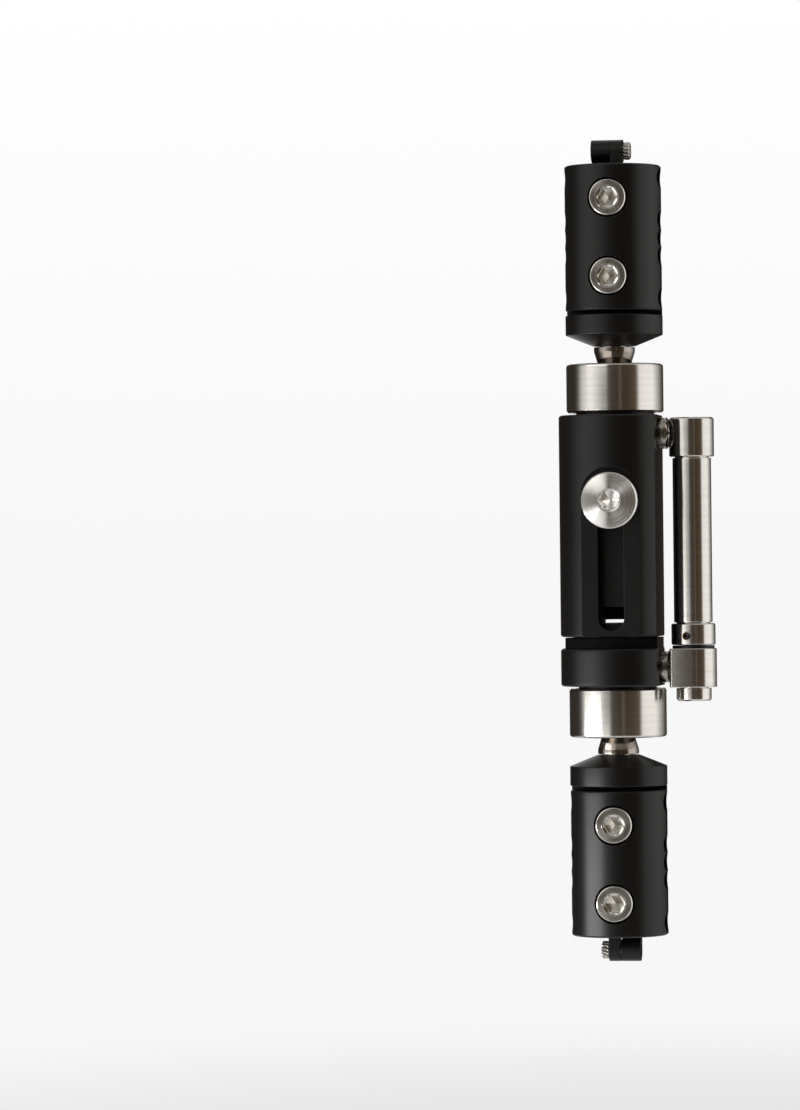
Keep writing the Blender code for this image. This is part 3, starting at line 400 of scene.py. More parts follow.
def turned_metal(name, colour, tint, roughness, anisotropy, groove):
    """Metal turned on a lathe: fine rings round the piece's own axis and highlights across them."""
    made, tree, shader = new_material(
        name, Metallic=1.0, Roughness=roughness, Anisotropic=anisotropy, Anisotropic_Rotation=0.25
    )
    rings, place = ring_coordinates(tree)
    fine = noise(tree, rings, STEEL_RINGS, 3.0, 0.6, "2D")
    broad = noise(tree, rings, STEEL_BANDS, 2.0, 0.5, "2D")
    cloud = noise(tree, place, STEEL_CLOUDS, 3.0)
    tone = maths(tree, "ADD", maths(tree, "MULTIPLY", broad, 0.6), maths(tree, "MULTIPLY", cloud, 0.4))
    share = spread(tree, tone, 0.35, 0.65, 0.0, 1.0)
    colours = blend_colours(tree, share, (*colour, 1.0), (*tint, 1.0))
    tree.links.new(colours, shader.inputs["Base Color"])
    rough = spread(tree, fine, 0.3, 0.7, roughness * 0.85, roughness * 1.15)
    tree.links.new(rough, shader.inputs["Roughness"])
    bump = add(tree, "ShaderNodeBump", {"Strength": 1.0, "Distance": groove, "Height": fine})
    tree.links.new(bump.outputs[0], shader.inputs["Normal"])
    tangent = add(tree, "ShaderNodeTangent", direction_type="RADIAL", axis="Z")
    tree.links.new(tangent.outputs[0], shader.inputs["Tangent"])
    return made


def anodised(name, colour, worn, roughness, specular):
    """Black anodised aluminium: fine grain, faint turning rings and slightly worn edges."""
    made, tree, shader = new_material(name, Metallic=0.0, Roughness=roughness)
    shader.inputs["Specular IOR Level"].default_value = specular
    rings, place = ring_coordinates(tree)
    grain = noise(tree, place, BLACK_GRAIN, 2.0, 0.6)
    lines = noise(tree, rings, BLACK_RINGS, 2.0, 0.5, "2D")
    cloud = noise(tree, place, BLACK_CLOUDS, 3.0)
    edge = add(tree, "ShaderNodeBevel", {"Radius": WORN_EDGE}, samples=6)
    facing = add(tree, "ShaderNodeNewGeometry").outputs["Normal"]
    bend = add(tree, "ShaderNodeVectorMath", {0: edge.outputs[0], 1: facing}, operation="DOT_PRODUCT")
    rubbed = spread(tree, bend.outputs["Value"], 0.985, 0.86, 0.0, 1.0)
    patchy = maths(tree, "MULTIPLY", rubbed, spread(tree, cloud, 0.35, 0.7, 0.25, 1.0))
    base = blend_colours(
        tree,
        spread(tree, cloud, 0.3, 0.7, 0.0, 1.0),
        (*[c * 0.88 for c in colour], 1.0),
        (*[c * 1.12 for c in colour], 1.0),
    )
    tree.links.new(blend_colours(tree, patchy, base, (*worn, 1.0)), shader.inputs["Base Color"])
    rough = spread(tree, grain, 0.3, 0.7, roughness * 0.94, roughness * 1.06)
    tree.links.new(rough, shader.inputs["Roughness"])
    height = maths(tree, "ADD", grain, maths(tree, "MULTIPLY", lines, 0.5))
    bump = add(
        tree,
        "ShaderNodeBump",
        {"Strength": 0.5, "Distance": GRAIN_DEPTH, "Height": height, "Normal": edge.outputs[0]},
    )
    tree.links.new(bump.outputs[0], shader.inputs["Normal"])
    return made


BLACK = anodised(
    "black_anodised", (0.0046, 0.0043, 0.0042), worn=(0.022, 0.021, 0.020), roughness=0.335, specular=0.30
)
# Painted shade: a near-black, matt, hardly glossy finish on the neck between the sleeve and the ring,
# standing in for the shade in that gap
NECK_PAINTED_SHADE = anodised(
    "neck_painted_shade", (0.002, 0.0019, 0.0018), worn=(0.010, 0.0095, 0.009), roughness=0.8, specular=0.06
)
# Each metal's colour and tint, roughness, anisotropy and the depth of its rings in metres
STEEL = turned_metal("turned_steel", (0.66, 0.64, 0.61), (0.60, 0.58, 0.55), 0.20, 0.75, 6e-7)
POLISHED = turned_metal("polished_steel", (0.38, 0.345, 0.31), (0.33, 0.295, 0.265), 0.12, 0.4, 3e-7)
BRIGHT = turned_metal("screw_steel", (0.62, 0.60, 0.56), (0.54, 0.52, 0.485), 0.20, 0.7, 8e-7)
FACED = turned_metal("faced_steel", (0.84, 0.825, 0.80), (0.78, 0.76, 0.735), 0.24, 1.0, 8e-7)
# Painted shade: near-black steel for the grub screw, standing in for the shade in its recessed hole
GRUB_PAINTED_SHADE = turned_metal("grub_painted_shade_steel", (0.03, 0.029, 0.028), (0.02, 0.02, 0.019), 0.25, 0.4, 3e-7)
BRONZE = turned_metal("bearing_bronze", (0.45, 0.30, 0.16), (0.38, 0.25, 0.13), 0.30, 0.4, 1e-6)


def dress(item, node, finish):
    """Let a fine mesh stand for a CAD node, with a finish, the node's body and a material slot."""
    item.data.materials.clear()
    item.data.materials.append(finish)
    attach(item, frame["nodes"][node]["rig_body"])
    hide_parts(node)


def keep(node, finish):
    """A CAD node that stays as it is and only takes a finish."""
    item = frame["nodes"][node]
    item.data.materials.clear()
    item.data.materials.append(finish)


# Pin clamps and ball joints, drawn as the upper ones stand: seats round the origin, cone down.
# GAP is the clearance of pieces that fit in each other. A cutter ends outside its piece, at a
# place whose name starts with PAST.

GAP = 0.3
EDGE = 0.15
CHAMFER = 0.4
CLAMP_RADIUS = 14.0
CLAMP_END = 21.1
PAST_CLAMP = 16.0
PAST_END = 22.2
PARTING = 1.5
FLANGE_RADIUS = 14.1
FLANGE_TOP = 22.3
CONE_TOP = 27.9
CONE_END = 31.1
CONE_TIP = 6.2
SEAT_RADIUS = 2.6
SEATS = (-17.3, -5.2, 0.0, 5.2, 17.3)

BOLT_HEIGHTS = {"outer": 11.3, "inner": -11.3}
BOLT_FACE = 14.3
BOLT_HEAD = 5.3
BOLT_SHANK = 2.7
BOLT_TIP = -9.5
BOLT_GAP = 0.5
HEAD_BACK = 9.3
POCKET_FLOOR = 7.7
BOLT_THREAD = 2.8
BOLT_ROOT = 2.32
BOLT_THREAD_TOP = 4.8
THREAD_PITCH = 1.0
SOCKET_FLAT = 2.5
SOCKET_LEAD = 3.05

HINGE = 25.5
EYE_RADIUS = 3.25
EYE_FOOT = 5.4
EYE_STEPS = 54
EYE_HOLE = 1.8
BODY_EYE = (-6.0, -0.5)
COVER_EYE = (-0.2, 3.1)

STUD_TOP = -23.5
STUD_RADIUS = 4.0
SHOULDER_RADIUS = 5.95
BALL = -43.3
BALL_RADIUS = 8.0
COLLAR_TOP = -36.3
COLLAR_END = -50.4
COLLAR_RADIUS = 14.1
COLLAR_MOUTH = 8.4
COLLAR_ROUND = 0.9
COLLAR_BEVEL = 0.5
SPIGOT_TOP = -45.2
SPIGOT_END = -51.1
SPIGOT_RADIUS = 11.3

# The clamp's outer end, which both halves share
OUTER_END = [
    (0.0, CLAMP_END),
    (CLAMP_RADIUS - CHAMFER, CLAMP_END, EDGE),
    (CLAMP_RADIUS, CLAMP_END - CHAMFER, EDGE),
]


def turned_over(outline, height=0.0):
    """An outline's stations in reverse, each at the given height less its own."""
    return [(radius, height - low, *rest) for radius, low, *rest in reversed(outline)]


def seat_cuts(face, place):
    """The cutters of the pin seats, with their middles on a half's parting face."""
    cuts = []
    for height in SEATS:
        line = lifted(place, y=face, z=height) @ ALONG_X
        cuts.append(rod(SEAT_RADIUS, -PAST_CLAMP, PAST_CLAMP, line, HALF_STEPS))
    return cuts


def hinge_eye(ends, side, place):
    """A hinge eye on the end face of one half, and the bore through it."""
    start, end = ends
    line = lifted(place, z=HINGE) @ ALONG_X
    hook = arc((0.0, 0.0), EYE_RADIUS, 0.0, 270.0, EYE_STEPS)
    outline = [(-up, side * across) for across, up in hook]
    outline += [(EYE_FOOT, 0.0), (EYE_FOOT, side * EYE_RADIUS)]
    return prism(outline, start, end, line), rod(EYE_HOLE, start - 1.0, end + 1.0, line, TINY_STEPS)


def clamp_body(side, place):
    """The back half of a pin clamp, with the flange and cone that hold the stud."""
    outline = [
        *OUTER_END,
        *straight(CLAMP_RADIUS, CLAMP_END - CHAMFER, -FLANGE_TOP),
        (CLAMP_RADIUS, -FLANGE_TOP),
        (FLANGE_RADIUS, -FLANGE_TOP - 0.2, 0.1),
        (FLANGE_RADIUS, -CONE_TOP, 0.35),
        (CONE_TIP, -CONE_END, 0.2),
        (0.0, -CONE_END),
    ]
    body = turned(side, outline, place)
    front = box((-PAST_CLAMP, -PAST_CLAMP, -FLANGE_TOP), (PAST_CLAMP, PARTING, PAST_END), place)
    cuts = [front, *seat_cuts(PARTING, place)]
    for height in BOLT_HEIGHTS.values():
        line = lifted(place, z=height) @ ALONG_MINUS_Y
        cuts.append(rod(BOLT_THREAD + GAP, -PAST_CLAMP, PAST_CLAMP, line))
    cuts.append(rod(STUD_RADIUS + GAP, -CONE_END - 1.1, STUD_TOP + GAP, place))
    eye, hole = hinge_eye(BODY_EYE, 1.0, place)
    carved(side, body, cuts)
    carved(side, body, [hole], [eye])
    smooth(body)
    dress(body, f"{side}_clamp_body", BLACK)


def clamp_cover(side, place):
    """The front half of a pin clamp, with the pockets for the bolts' heads."""
    outline = [
        *OUTER_END,
        *straight(CLAMP_RADIUS, CLAMP_END - CHAMFER, CHAMFER - CLAMP_END),
        *turned_over(OUTER_END),
    ]
    cover = turned(side, outline, place)
    back = box((-PAST_CLAMP, -PARTING, -PAST_END), (PAST_CLAMP, PAST_CLAMP, PAST_END), place)
    cuts = [back, *seat_cuts(-PARTING, place)]
    for height in BOLT_HEIGHTS.values():
        line = lifted(place, z=height) @ ALONG_MINUS_Y
        cuts.append(rod(BOLT_SHANK + BOLT_GAP, -1.0, PAST_CLAMP, line))
        cuts.append(rod(BOLT_HEAD + BOLT_GAP, POCKET_FLOOR, PAST_CLAMP, line, FINE_STEPS))
    eye, hole = hinge_eye(COVER_EYE, -1.0, place)
    carved(side, cover, cuts)
    carved(side, cover, [hole], [eye])
    smooth(cover)
    dress(cover, f"{side}_clamp_cover", BLACK)


def socket(face, depth):
    """The outline of a hex socket from its drilled floor to the chamfer at the face."""
    return [
        (0.0, face - depth - 0.55 * SOCKET_FLAT),
        (SOCKET_FLAT, face - depth, "hex"),
        (SOCKET_FLAT, face - 0.3, "hex"),
        (SOCKET_LEAD, face - 0.03),
        (SOCKET_LEAD + 0.08, face),
    ]


def clamp_bolt(name, height, place):
    """A low-head socket bolt: its face, rim and socket, and the thread behind them."""
    line = lifted(place, z=height) @ ALONG_MINUS_Y
    outline = socket(BOLT_FACE, 3.0) + [
        (3.45, BOLT_FACE),
        (3.5, BOLT_FACE - 0.04),
        (4.9, BOLT_FACE - 0.06, 0.05),
        (5.05, BOLT_FACE - 0.14, 0.1),
        (BOLT_HEAD, BOLT_FACE - 0.5, 0.12),
        (BOLT_HEAD, HEAD_BACK, 0.2),
        (BOLT_SHANK, HEAD_BACK),
        (BOLT_SHANK, 5.0, 0.1),
        (2.4, 4.6),
        (2.4, BOLT_TIP + 0.3),
        (2.0, BOLT_TIP),
        (0.0, BOLT_TIP),
    ]
    head = lathe_mesh(rounded(outline), FINE_STEPS)
    thread = thread_mesh(BOLT_THREAD, BOLT_ROOT, THREAD_PITCH, BOLT_TIP + 0.2, BOLT_THREAD_TOP)
    item = make_object(name, [head, thread], line)
    smooth(item)
    dress(item, name, BRIGHT)


def hinge_screw(name, place):
    """The small cap screw of the hinge, with its knurled head."""
    line = lifted(place, z=HINGE) @ ALONG_X
    face, head, shank, back, tip = 5.3, 2.6, 1.5, 3.4, -5.7
    outline = [
        (0.0, face - 1.6),
        (1.25, face - 1.2, "hex"),
        (1.25, face - 0.1, "hex"),
        (shank, face),
        (2.1, face),
        (head - 0.25, face - 0.1),
        (head, face - 0.35, "knurl"),
        (head, back + 0.25, "knurl"),
        (head - 0.25, back),
        (shank, back),
        (shank, tip + 0.2),
        (shank - 0.2, tip),
        (0.0, tip),
    ]
    dress(turned(name, outline, line, KNURL_STEPS, knurl=(14, 0.5)), name, BRIGHT)


def ball_stud(name, place):
    """The stud in the clamp's cone: shoulder, neck and the ball that sits in the collar."""
    shoulder = -CONE_END - GAP
    outline = [
        (0.0, STUD_TOP),
        (STUD_RADIUS - CHAMFER, STUD_TOP),
        (STUD_RADIUS, STUD_TOP - CHAMFER),
        (STUD_RADIUS, shoulder),
        (SHOULDER_RADIUS, shoulder, EDGE),
        (SHOULDER_RADIUS, shoulder - 1.3, 0.3),
    ]
    outline += arc((0.0, BALL), BALL_RADIUS, 54.0, -68.0, 40)
    outline.append((0.0, outline[-1][1]))
    dress(turned(name, outline, place), name, POLISHED)


def ball_collar(name, place):
    """The turned collar over the ball: flared mouth, rounded edge and seat."""
    bore, seat, step = SPIGOT_RADIUS + GAP, BALL_RADIUS + GAP, SPIGOT_TOP + GAP
    centre = (COLLAR_RADIUS - COLLAR_ROUND, COLLAR_TOP - COLLAR_ROUND)
    outline = [(COLLAR_MOUTH, COLLAR_TOP - EDGE), (COLLAR_MOUTH + EDGE, COLLAR_TOP)]
    outline += arc(centre, COLLAR_ROUND, 90.0, 0.0, 8)
    outline += [
        (COLLAR_RADIUS, COLLAR_END + COLLAR_BEVEL, 0.2),
        (COLLAR_RADIUS - COLLAR_BEVEL, COLLAR_END, 0.1),
        (bore + COLLAR_BEVEL, COLLAR_END),
        (bore, COLLAR_END + COLLAR_BEVEL),
        (bore, step),
        (seat, step),
    ]
    outline += arc((0.0, BALL), seat, 0.0, 35.0, 16)
    dress(turned(name, outline, place, closed=True), name, STEEL)


# Telescoping body and the cams that cross its ends

SLEEVE_RADIUS = 16.4
SLEEVE_END = -115.2
SLEEVE_BEVEL = 0.5
SIDE_FLAT = 12.6
FLAT_TOP = -50.75
PAST_BODY = 18.0
CUP_BORE = 8.6
CUP_FLOOR = -53.0
PAST_SPIGOT = -44.1
UPPER_CAM = -56.5
LOWER_CAM = LOWER_CLAMP - UPPER_CAM

BORE_TOP = -63.5
BAR_RADIUS = 10.0
BAR_TOP = -64.5
BAR_FLAT = 9.3
PAST_BAR = 11.0
NECK_TOP = SLEEVE_END - GAP
NECK_RADIUS = 15.1
NECK_END = -118.6

LOCK = -75.9
LOCK_CROWN = 17.5
LOCK_RIM = 16.9
LOCK_HEAD = 8.15
LOCK_SHANK = 3.0
CHANNEL_RADIUS = 8.75
CHANNEL_TOP = LOCK + 0.85
CHANNEL_END = -125.0
CHANNEL_FLOOR = 14.0
SLOT_RADIUS = 3.75
SLOT_END = -109.65
SLEEVE_WINDOW = (-113.4, -110.4)
SLEEVE_WINDOW_HALF = 6.2
BAR_WINDOW = (-111.3, -106.5)
BAR_WINDOW_HALF = 3.3
BAR_WINDOW_BACK_HALF = 5.5
WALL_CUT = 5.0

CAM_FACE = 15.5
CAM_HEAD = 4.6
JOURNAL_RADIUS = 3.6
JOURNAL_BORE_END = 13.9
LOBE_RADIUS = 3.0
LOBE_SHIFT = 0.5
LOBE_ENDS = (-7.2, 9.4)
TAIL_RADIUS = 3.1
TAIL_END = -12.1

# The spigot and shoulder at the body's upper end; its lower end is the same turned over
JOINT_END = [
    (0.0, SPIGOT_TOP),
    (SPIGOT_RADIUS - CHAMFER, SPIGOT_TOP),
    (SPIGOT_RADIUS, SPIGOT_TOP - CHAMFER),
    (SPIGOT_RADIUS, SPIGOT_END),
    (SLEEVE_RADIUS - SLEEVE_BEVEL, SPIGOT_END, EDGE),
    (SLEEVE_RADIUS, SPIGOT_END - SLEEVE_BEVEL, EDGE),
]


def locking_cam(name, height, away):
    """The cross cam: socket head, journal, eccentric lobe and tail, a little inside each other."""
    line = lifted(UPPER, z=height) @ ALONG_X
    low, high = LOBE_ENDS
    back, journal_end = SIDE_FLAT + GAP, high - 0.5
    head = socket(CAM_FACE, 2.2) + [
        (CAM_HEAD - 0.5, CAM_FACE, 0.1),
        (CAM_HEAD, CAM_FACE - 0.5, 0.2),
        (CAM_HEAD, back, 0.1),
        (JOURNAL_RADIUS, back),
        (JOURNAL_RADIUS, journal_end),
        (0.0, journal_end),
    ]
    lobe = [(0.0, high), (LOBE_RADIUS, high), (LOBE_RADIUS, low), (0.0, low)]
    tail = [
        (0.0, low + 0.2),
        (TAIL_RADIUS, low + 0.2),
        (TAIL_RADIUS, TAIL_END + 0.3),
        (TAIL_RADIUS - 0.3, TAIL_END),
        (0.0, TAIL_END),
    ]
    lobe_verts, lobe_faces = lathe_mesh(lobe, SMALL_STEPS)
    # The piece's own +X points down in this frame, so a lobe away from the ball moves by -away
    lobe_verts = [(x - away * LOBE_SHIFT * MM, y, z) for x, y, z in lobe_verts]
    shells = [
        lathe_mesh(rounded(head), FINE_STEPS),
        (lobe_verts, lobe_faces),
        lathe_mesh(tail, SMALL_STEPS),
    ]
    item = make_object(name, shells, line)
    smooth(item)
    dress(item, name, POLISHED)


def cam_cuts(height):
    """The bores for a cam's journal and tail."""
    line = lifted(UPPER, z=height) @ ALONG_X
    low = LOBE_ENDS[0]
    journal = rod(JOURNAL_RADIUS + GAP, low - GAP, JOURNAL_BORE_END, line)
    return [journal, rod(TAIL_RADIUS + GAP, TAIL_END - GAP, low, line)]


def channel_edge():
    """A thin ring that bevels the edge between the channel's round end and the sleeve."""
    sweep, least, swell, past, count = 66.0, 0.06, 0.22, 0.15, 44
    verts, faces = [], []
    for i in range(count + 1):
        angle = math.radians(-sweep + 2 * sweep * i / count)
        way = Vector((math.sin(angle), 0.0, math.cos(angle)))
        width = least + swell * math.cos(angle)
        edge = way * CHANNEL_RADIUS
        outside = way * (CHANNEL_RADIUS + width)
        edge.y = -math.sqrt(SLEEVE_RADIUS**2 - edge.x**2)
        outside.y = -math.sqrt(SLEEVE_RADIUS**2 - outside.x**2)
        inside = edge + Vector((0.0, width, 0.0))
        slope = (outside - inside) * past
        for spot in (outside + slope, edge - way * width + Vector((0.0, -width, 0.0)), inside - slope):
            verts.append((spot.x * MM, spot.y * MM, (spot.z + CHANNEL_TOP) * MM))
    for i in range(count):
        a, b = 3 * i, 3 * i + 3
        for j in range(3):
            k = (j + 1) % 3
            faces.append((a + j, a + k, b + k, b + j))
    faces.append((0, 1, 2))
    faces.append((3 * count, 3 * count + 1, 3 * count + 2))
    return make_object("cutter", [(verts, faces)], UPPER)


def sleeve_body(name):
    """The female half: ball seat above, bore, front channel and slot, and the rear window."""
    side_end = SLEEVE_END + SLEEVE_BEVEL
    outline = [
        *JOINT_END,
        *straight(SLEEVE_RADIUS, JOINT_END[-1][1], side_end),
        (SLEEVE_RADIUS, side_end, EDGE),
        (SLEEVE_RADIUS - SLEEVE_BEVEL, SLEEVE_END, EDGE),
        (0.0, SLEEVE_END),
    ]
    sleeve = turned(name, outline, UPPER)
    low, high = SLEEVE_WINDOW
    past_end = SLEEVE_END - 1.8
    cuts = [
        box((SIDE_FLAT, -PAST_BODY, past_end), (PAST_BODY, PAST_BODY, FLAT_TOP)),
        rod(CUP_BORE, CUP_FLOOR, PAST_SPIGOT, UPPER, FINE_STEPS),
        *cam_cuts(UPPER_CAM),
        rod(BAR_RADIUS + GAP, past_end, BORE_TOP, UPPER, FINE_STEPS),
        oblong(CHANNEL_RADIUS, CHANNEL_END, CHANNEL_TOP, CHANNEL_FLOOR, PAST_BODY),
        channel_edge(),
        oblong(SLOT_RADIUS, SLOT_END, LOCK, WALL_CUT, PAST_BODY),
        box((-SLEEVE_WINDOW_HALF, WALL_CUT, low), (SLEEVE_WINDOW_HALF, PAST_BODY, high)),
    ]
    carved(name, sleeve, cuts)
    smooth(sleeve)
    dress(sleeve, name, BLACK)


def slider_bar(name):
    """The male half: bar with its window, neck, ring and the lower ball seat."""
    lower_end = turned_over(JOINT_END, LOWER_CLAMP)
    ring_top = NECK_END - SLEEVE_BEVEL
    outline = [
        (0.0, BAR_TOP),
        (BAR_RADIUS - 0.5, BAR_TOP),
        (BAR_RADIUS, BAR_TOP - 0.5),
        *straight(BAR_RADIUS, BAR_TOP - 0.5, NECK_TOP),
        (BAR_RADIUS, NECK_TOP),
        (NECK_RADIUS, NECK_TOP, 0.1),
        (NECK_RADIUS, NECK_END),
        (SLEEVE_RADIUS - SLEEVE_BEVEL, NECK_END, EDGE),
        (SLEEVE_RADIUS, ring_top, EDGE),
        *straight(SLEEVE_RADIUS, ring_top, lower_end[0][1]),
        *lower_end,
    ]
    bar = turned(name, outline, UPPER)
    flat_end = LOWER_CLAMP - FLAT_TOP
    low, high = BAR_WINDOW
    cuts = [
        box((SIDE_FLAT, -PAST_BODY, flat_end), (PAST_BODY, PAST_BODY, NECK_TOP + 1.0)),
        rod(CUP_BORE, LOWER_CLAMP - PAST_SPIGOT, LOWER_CLAMP - CUP_FLOOR, UPPER, FINE_STEPS),
        *cam_cuts(LOWER_CAM),
        box((-PAST_BAR, -PAST_BAR, NECK_TOP), (PAST_BAR, -BAR_FLAT, BORE_TOP)),
        box((-BAR_WINDOW_HALF, -PAST_BAR, low), (BAR_WINDOW_HALF, PAST_BAR, high)),
        box((-BAR_WINDOW_BACK_HALF, 0.0, low), (BAR_WINDOW_BACK_HALF, PAST_BAR, high)),
        rod(LOCK_SHANK + GAP, 2.0, PAST_BAR, lifted(UPPER, z=LOCK) @ ALONG_MINUS_Y),
    ]
    carved(name, bar, cuts)
    smooth(bar)
    dress(bar, name, BLACK)
    # The neck's faces between the sleeve and the ring take the painted shade
    bar.data.materials.append(NECK_PAINTED_SHADE)
    for face in bar.data.polygons:
        height, reach = face.center.z / MM, face.center.xy.length / MM
        if NECK_END - 0.05 < height < NECK_TOP + 0.05 and reach > BAR_RADIUS + 0.5:
            face.material_index = 1


def lock_screw(name):
    """The body lock screw: a wide faced head, a recessed socket and its shank."""
    line = lifted(UPPER, z=LOCK) @ ALONG_MINUS_Y
    back, tip = CHANNEL_FLOOR + GAP, 2.3
    outline = [
        (0.0, LOCK_CROWN - 4.0),
        (SOCKET_FLAT, LOCK_CROWN - 2.6, "hex"),
        (SOCKET_FLAT, LOCK_CROWN - 0.75, "hex"),
        (2.95, LOCK_CROWN - 0.42),
        (3.15, LOCK_CROWN - 0.4),
        (3.3, LOCK_CROWN - 0.3),
        (3.42, LOCK_CROWN - 0.02),
        (3.6, LOCK_CROWN - 0.02),
        (LOCK_HEAD - 0.4, LOCK_RIM, 0.12),
        (LOCK_HEAD, LOCK_RIM - 0.4, 0.2),
        (LOCK_HEAD, back, 0.2),
        (LOCK_SHANK, back),
        (LOCK_SHANK, tip + 0.4),
        (LOCK_SHANK - 0.4, tip),
        (0.0, tip),
    ]
    dress(turned(name, outline, line), name, FACED)


# Side distraction unit, drawn round its own upright axis

UNIT_TOP = -52.0
CAP_RADIUS = 6.5
CAP_END = -63.4
CAP_FLOOR = -60.5
TUBE_RADIUS = 5.6
TUBE_END_RADIUS = 4.9
TUBE_BORE = 3.9
TUBE_ENDS = (-61.1, -113.9)
RING_RADIUS = 6.4
RING_TOP = -111.6
RING_FLOOR = -117.0
RING_END = -117.8
RING_HOLE = 3.6
SMALL_BEVEL = 0.3
GRUB_HEIGHT = -115.2
GRUB_AZIMUTH = -103.0
GRUB_HOLE = 1.2
PAST_RING = 7.5
BLOCK_TOP = -118.8
BLOCK_END = -130.0
BLOCK_RADIUS = 6.7
BLOCK_INNER = -6.4
BLOCK_CORNER = 0.8
BLOCK_BEVEL = 0.2
PAST_BLOCK = -131.0
PIN_HOLE = 2.4
PIN_HOLE_ENDS = (14.8, 17.0)
DRIVE_THREAD = 3.0
DRIVE_ROOT = 2.45
DRIVE_TIP = -74.3
DRIVE_BORE = (-123.0, -118.0)
DRIVE_FLANGE = 4.2
DRIVE_HEAD = 5.1
DRIVE_FLAT = 2.0
FLANGE_ENDS = (-121.3, -128.7)
DRIVE_END = -134.0
RETAINER_ENDS = (-129.0, -129.7)


def unit_cap():
    """The closed cap at the unit's upper end."""
    bore = TUBE_END_RADIUS + GAP
    outline = [
        (0.0, UNIT_TOP),
        (CAP_RADIUS - 0.5, UNIT_TOP, EDGE),
        (CAP_RADIUS, UNIT_TOP - 0.5, 0.25),
        (CAP_RADIUS, CAP_END + SMALL_BEVEL, EDGE),
        (CAP_RADIUS - SMALL_BEVEL, CAP_END),
        (bore, CAP_END),
        (bore, CAP_FLOOR),
        (0.0, CAP_FLOOR),
    ]
    dress(turned("unit_cap", outline, UNIT), "unit_cap", STEEL)


def unit_tube():
    """The tube, with both ends turned down to sit in the cap and in the ring."""
    top, end = TUBE_ENDS
    side_top, side_end = CAP_END - GAP, RING_TOP + GAP
    outline = [
        (TUBE_BORE, top),
        (TUBE_END_RADIUS, top),
        (TUBE_END_RADIUS, side_top),
        (TUBE_RADIUS - 0.1, side_top, 0.1),
        (TUBE_RADIUS, side_top - SMALL_BEVEL, 0.1),
        (TUBE_RADIUS, side_end + SMALL_BEVEL, 0.1),
        (TUBE_RADIUS - 0.1, side_end, 0.1),
        (TUBE_END_RADIUS, side_end),
        (TUBE_END_RADIUS, end),
        (TUBE_BORE, end),
    ]
    dress(turned("unit_tube", outline, UNIT, closed=True), "unit_tube", STEEL)


def unit_collar():
    """The ring at the tube's lower end, and the grub screw that holds it."""
    bore = TUBE_END_RADIUS + GAP
    outline = [
        (bore, RING_TOP),
        (RING_RADIUS - SMALL_BEVEL, RING_TOP, 0.1),
        (RING_RADIUS, RING_TOP - SMALL_BEVEL, EDGE),
        (RING_RADIUS, RING_END + SMALL_BEVEL, EDGE),
        (RING_RADIUS - SMALL_BEVEL, RING_END, 0.1),
        (RING_HOLE, RING_END),
        (RING_HOLE, RING_FLOOR),
        (bore, RING_FLOOR),
    ]
    ring = turned("unit_collar", outline, UNIT, closed=True)
    line = lifted(UNIT, z=GRUB_HEIGHT) @ Matrix.Rotation(math.radians(GRUB_AZIMUTH), 4, "Z") @ ALONG_X
    carved("unit_collar", ring, [rod(GRUB_HOLE, TUBE_END_RADIUS, PAST_RING, line, TINY_STEPS)])
    smooth(ring)
    dress(ring, "unit_collar", STEEL)
    face, foot = 5.6, 5.2
    grub = [
        (0.0, foot + 0.05),
        (0.5, foot + 0.1, "hex"),
        (0.5, face - 0.05, "hex"),
        (0.65, face),
        (0.75, face, 0.05),
        (0.9, face - 0.15, 0.05),
        (0.9, foot),
        (0.0, foot),
    ]
    # The grub screw takes the painted shade of its hole
    dress(turned("grub_screw", grub, line, TINY_STEPS), "grub_screw", GRUB_PAINTED_SHADE)


def unit_block():
    """The bored block that the screw turns in: round outside, square towards the body."""
    outline = arc((0.0, 0.0), BLOCK_RADIUS, -90.0, 90.0, HALF_STEPS)
    across, along = BLOCK_INNER + BLOCK_CORNER, BLOCK_RADIUS - BLOCK_CORNER
    outline += arc((across, along), BLOCK_CORNER, 90.0, 180.0, 8)
    outline += arc((across, -along), BLOCK_CORNER, 180.0, 270.0, 8)
    block = bevelled_prism("unit_block", outline, BLOCK_END, BLOCK_TOP, BLOCK_BEVEL, UNIT)
    cuts = [
        rod(DRIVE_THREAD + GAP, *DRIVE_BORE, UNIT),
        rod(DRIVE_FLANGE + GAP, PAST_BLOCK, FLANGE_ENDS[0] + GAP, UNIT),
        rod(DRIVE_HEAD + GAP, PAST_BLOCK, FLANGE_ENDS[1], UNIT),
        rod(PIN_HOLE, *PIN_HOLE_ENDS, lifted(UPPER, z=LOWER_CAM) @ ALONG_X, TINY_STEPS),
    ]
    carved("unit_block", block, cuts)
    smooth(block)
    dress(block, "unit_block", STEEL)


def dark_gap_ring():
    """A black ring that fills the gap between the collar and the block and keeps that gap dark; it isn't
    a CAD node.
    """
    inner, outer, top, end = 3.4, 6.1, RING_END - 0.2, BLOCK_TOP + 0.02
    outline = [(inner, end), (outer, end), (outer, top), (inner, top)]
    washer = turned("dark_gap_ring", outline, UNIT, closed=True)
    washer.data.materials.append(BLACK)
    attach(washer, frame["nodes"]["unit_block"]["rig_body"])


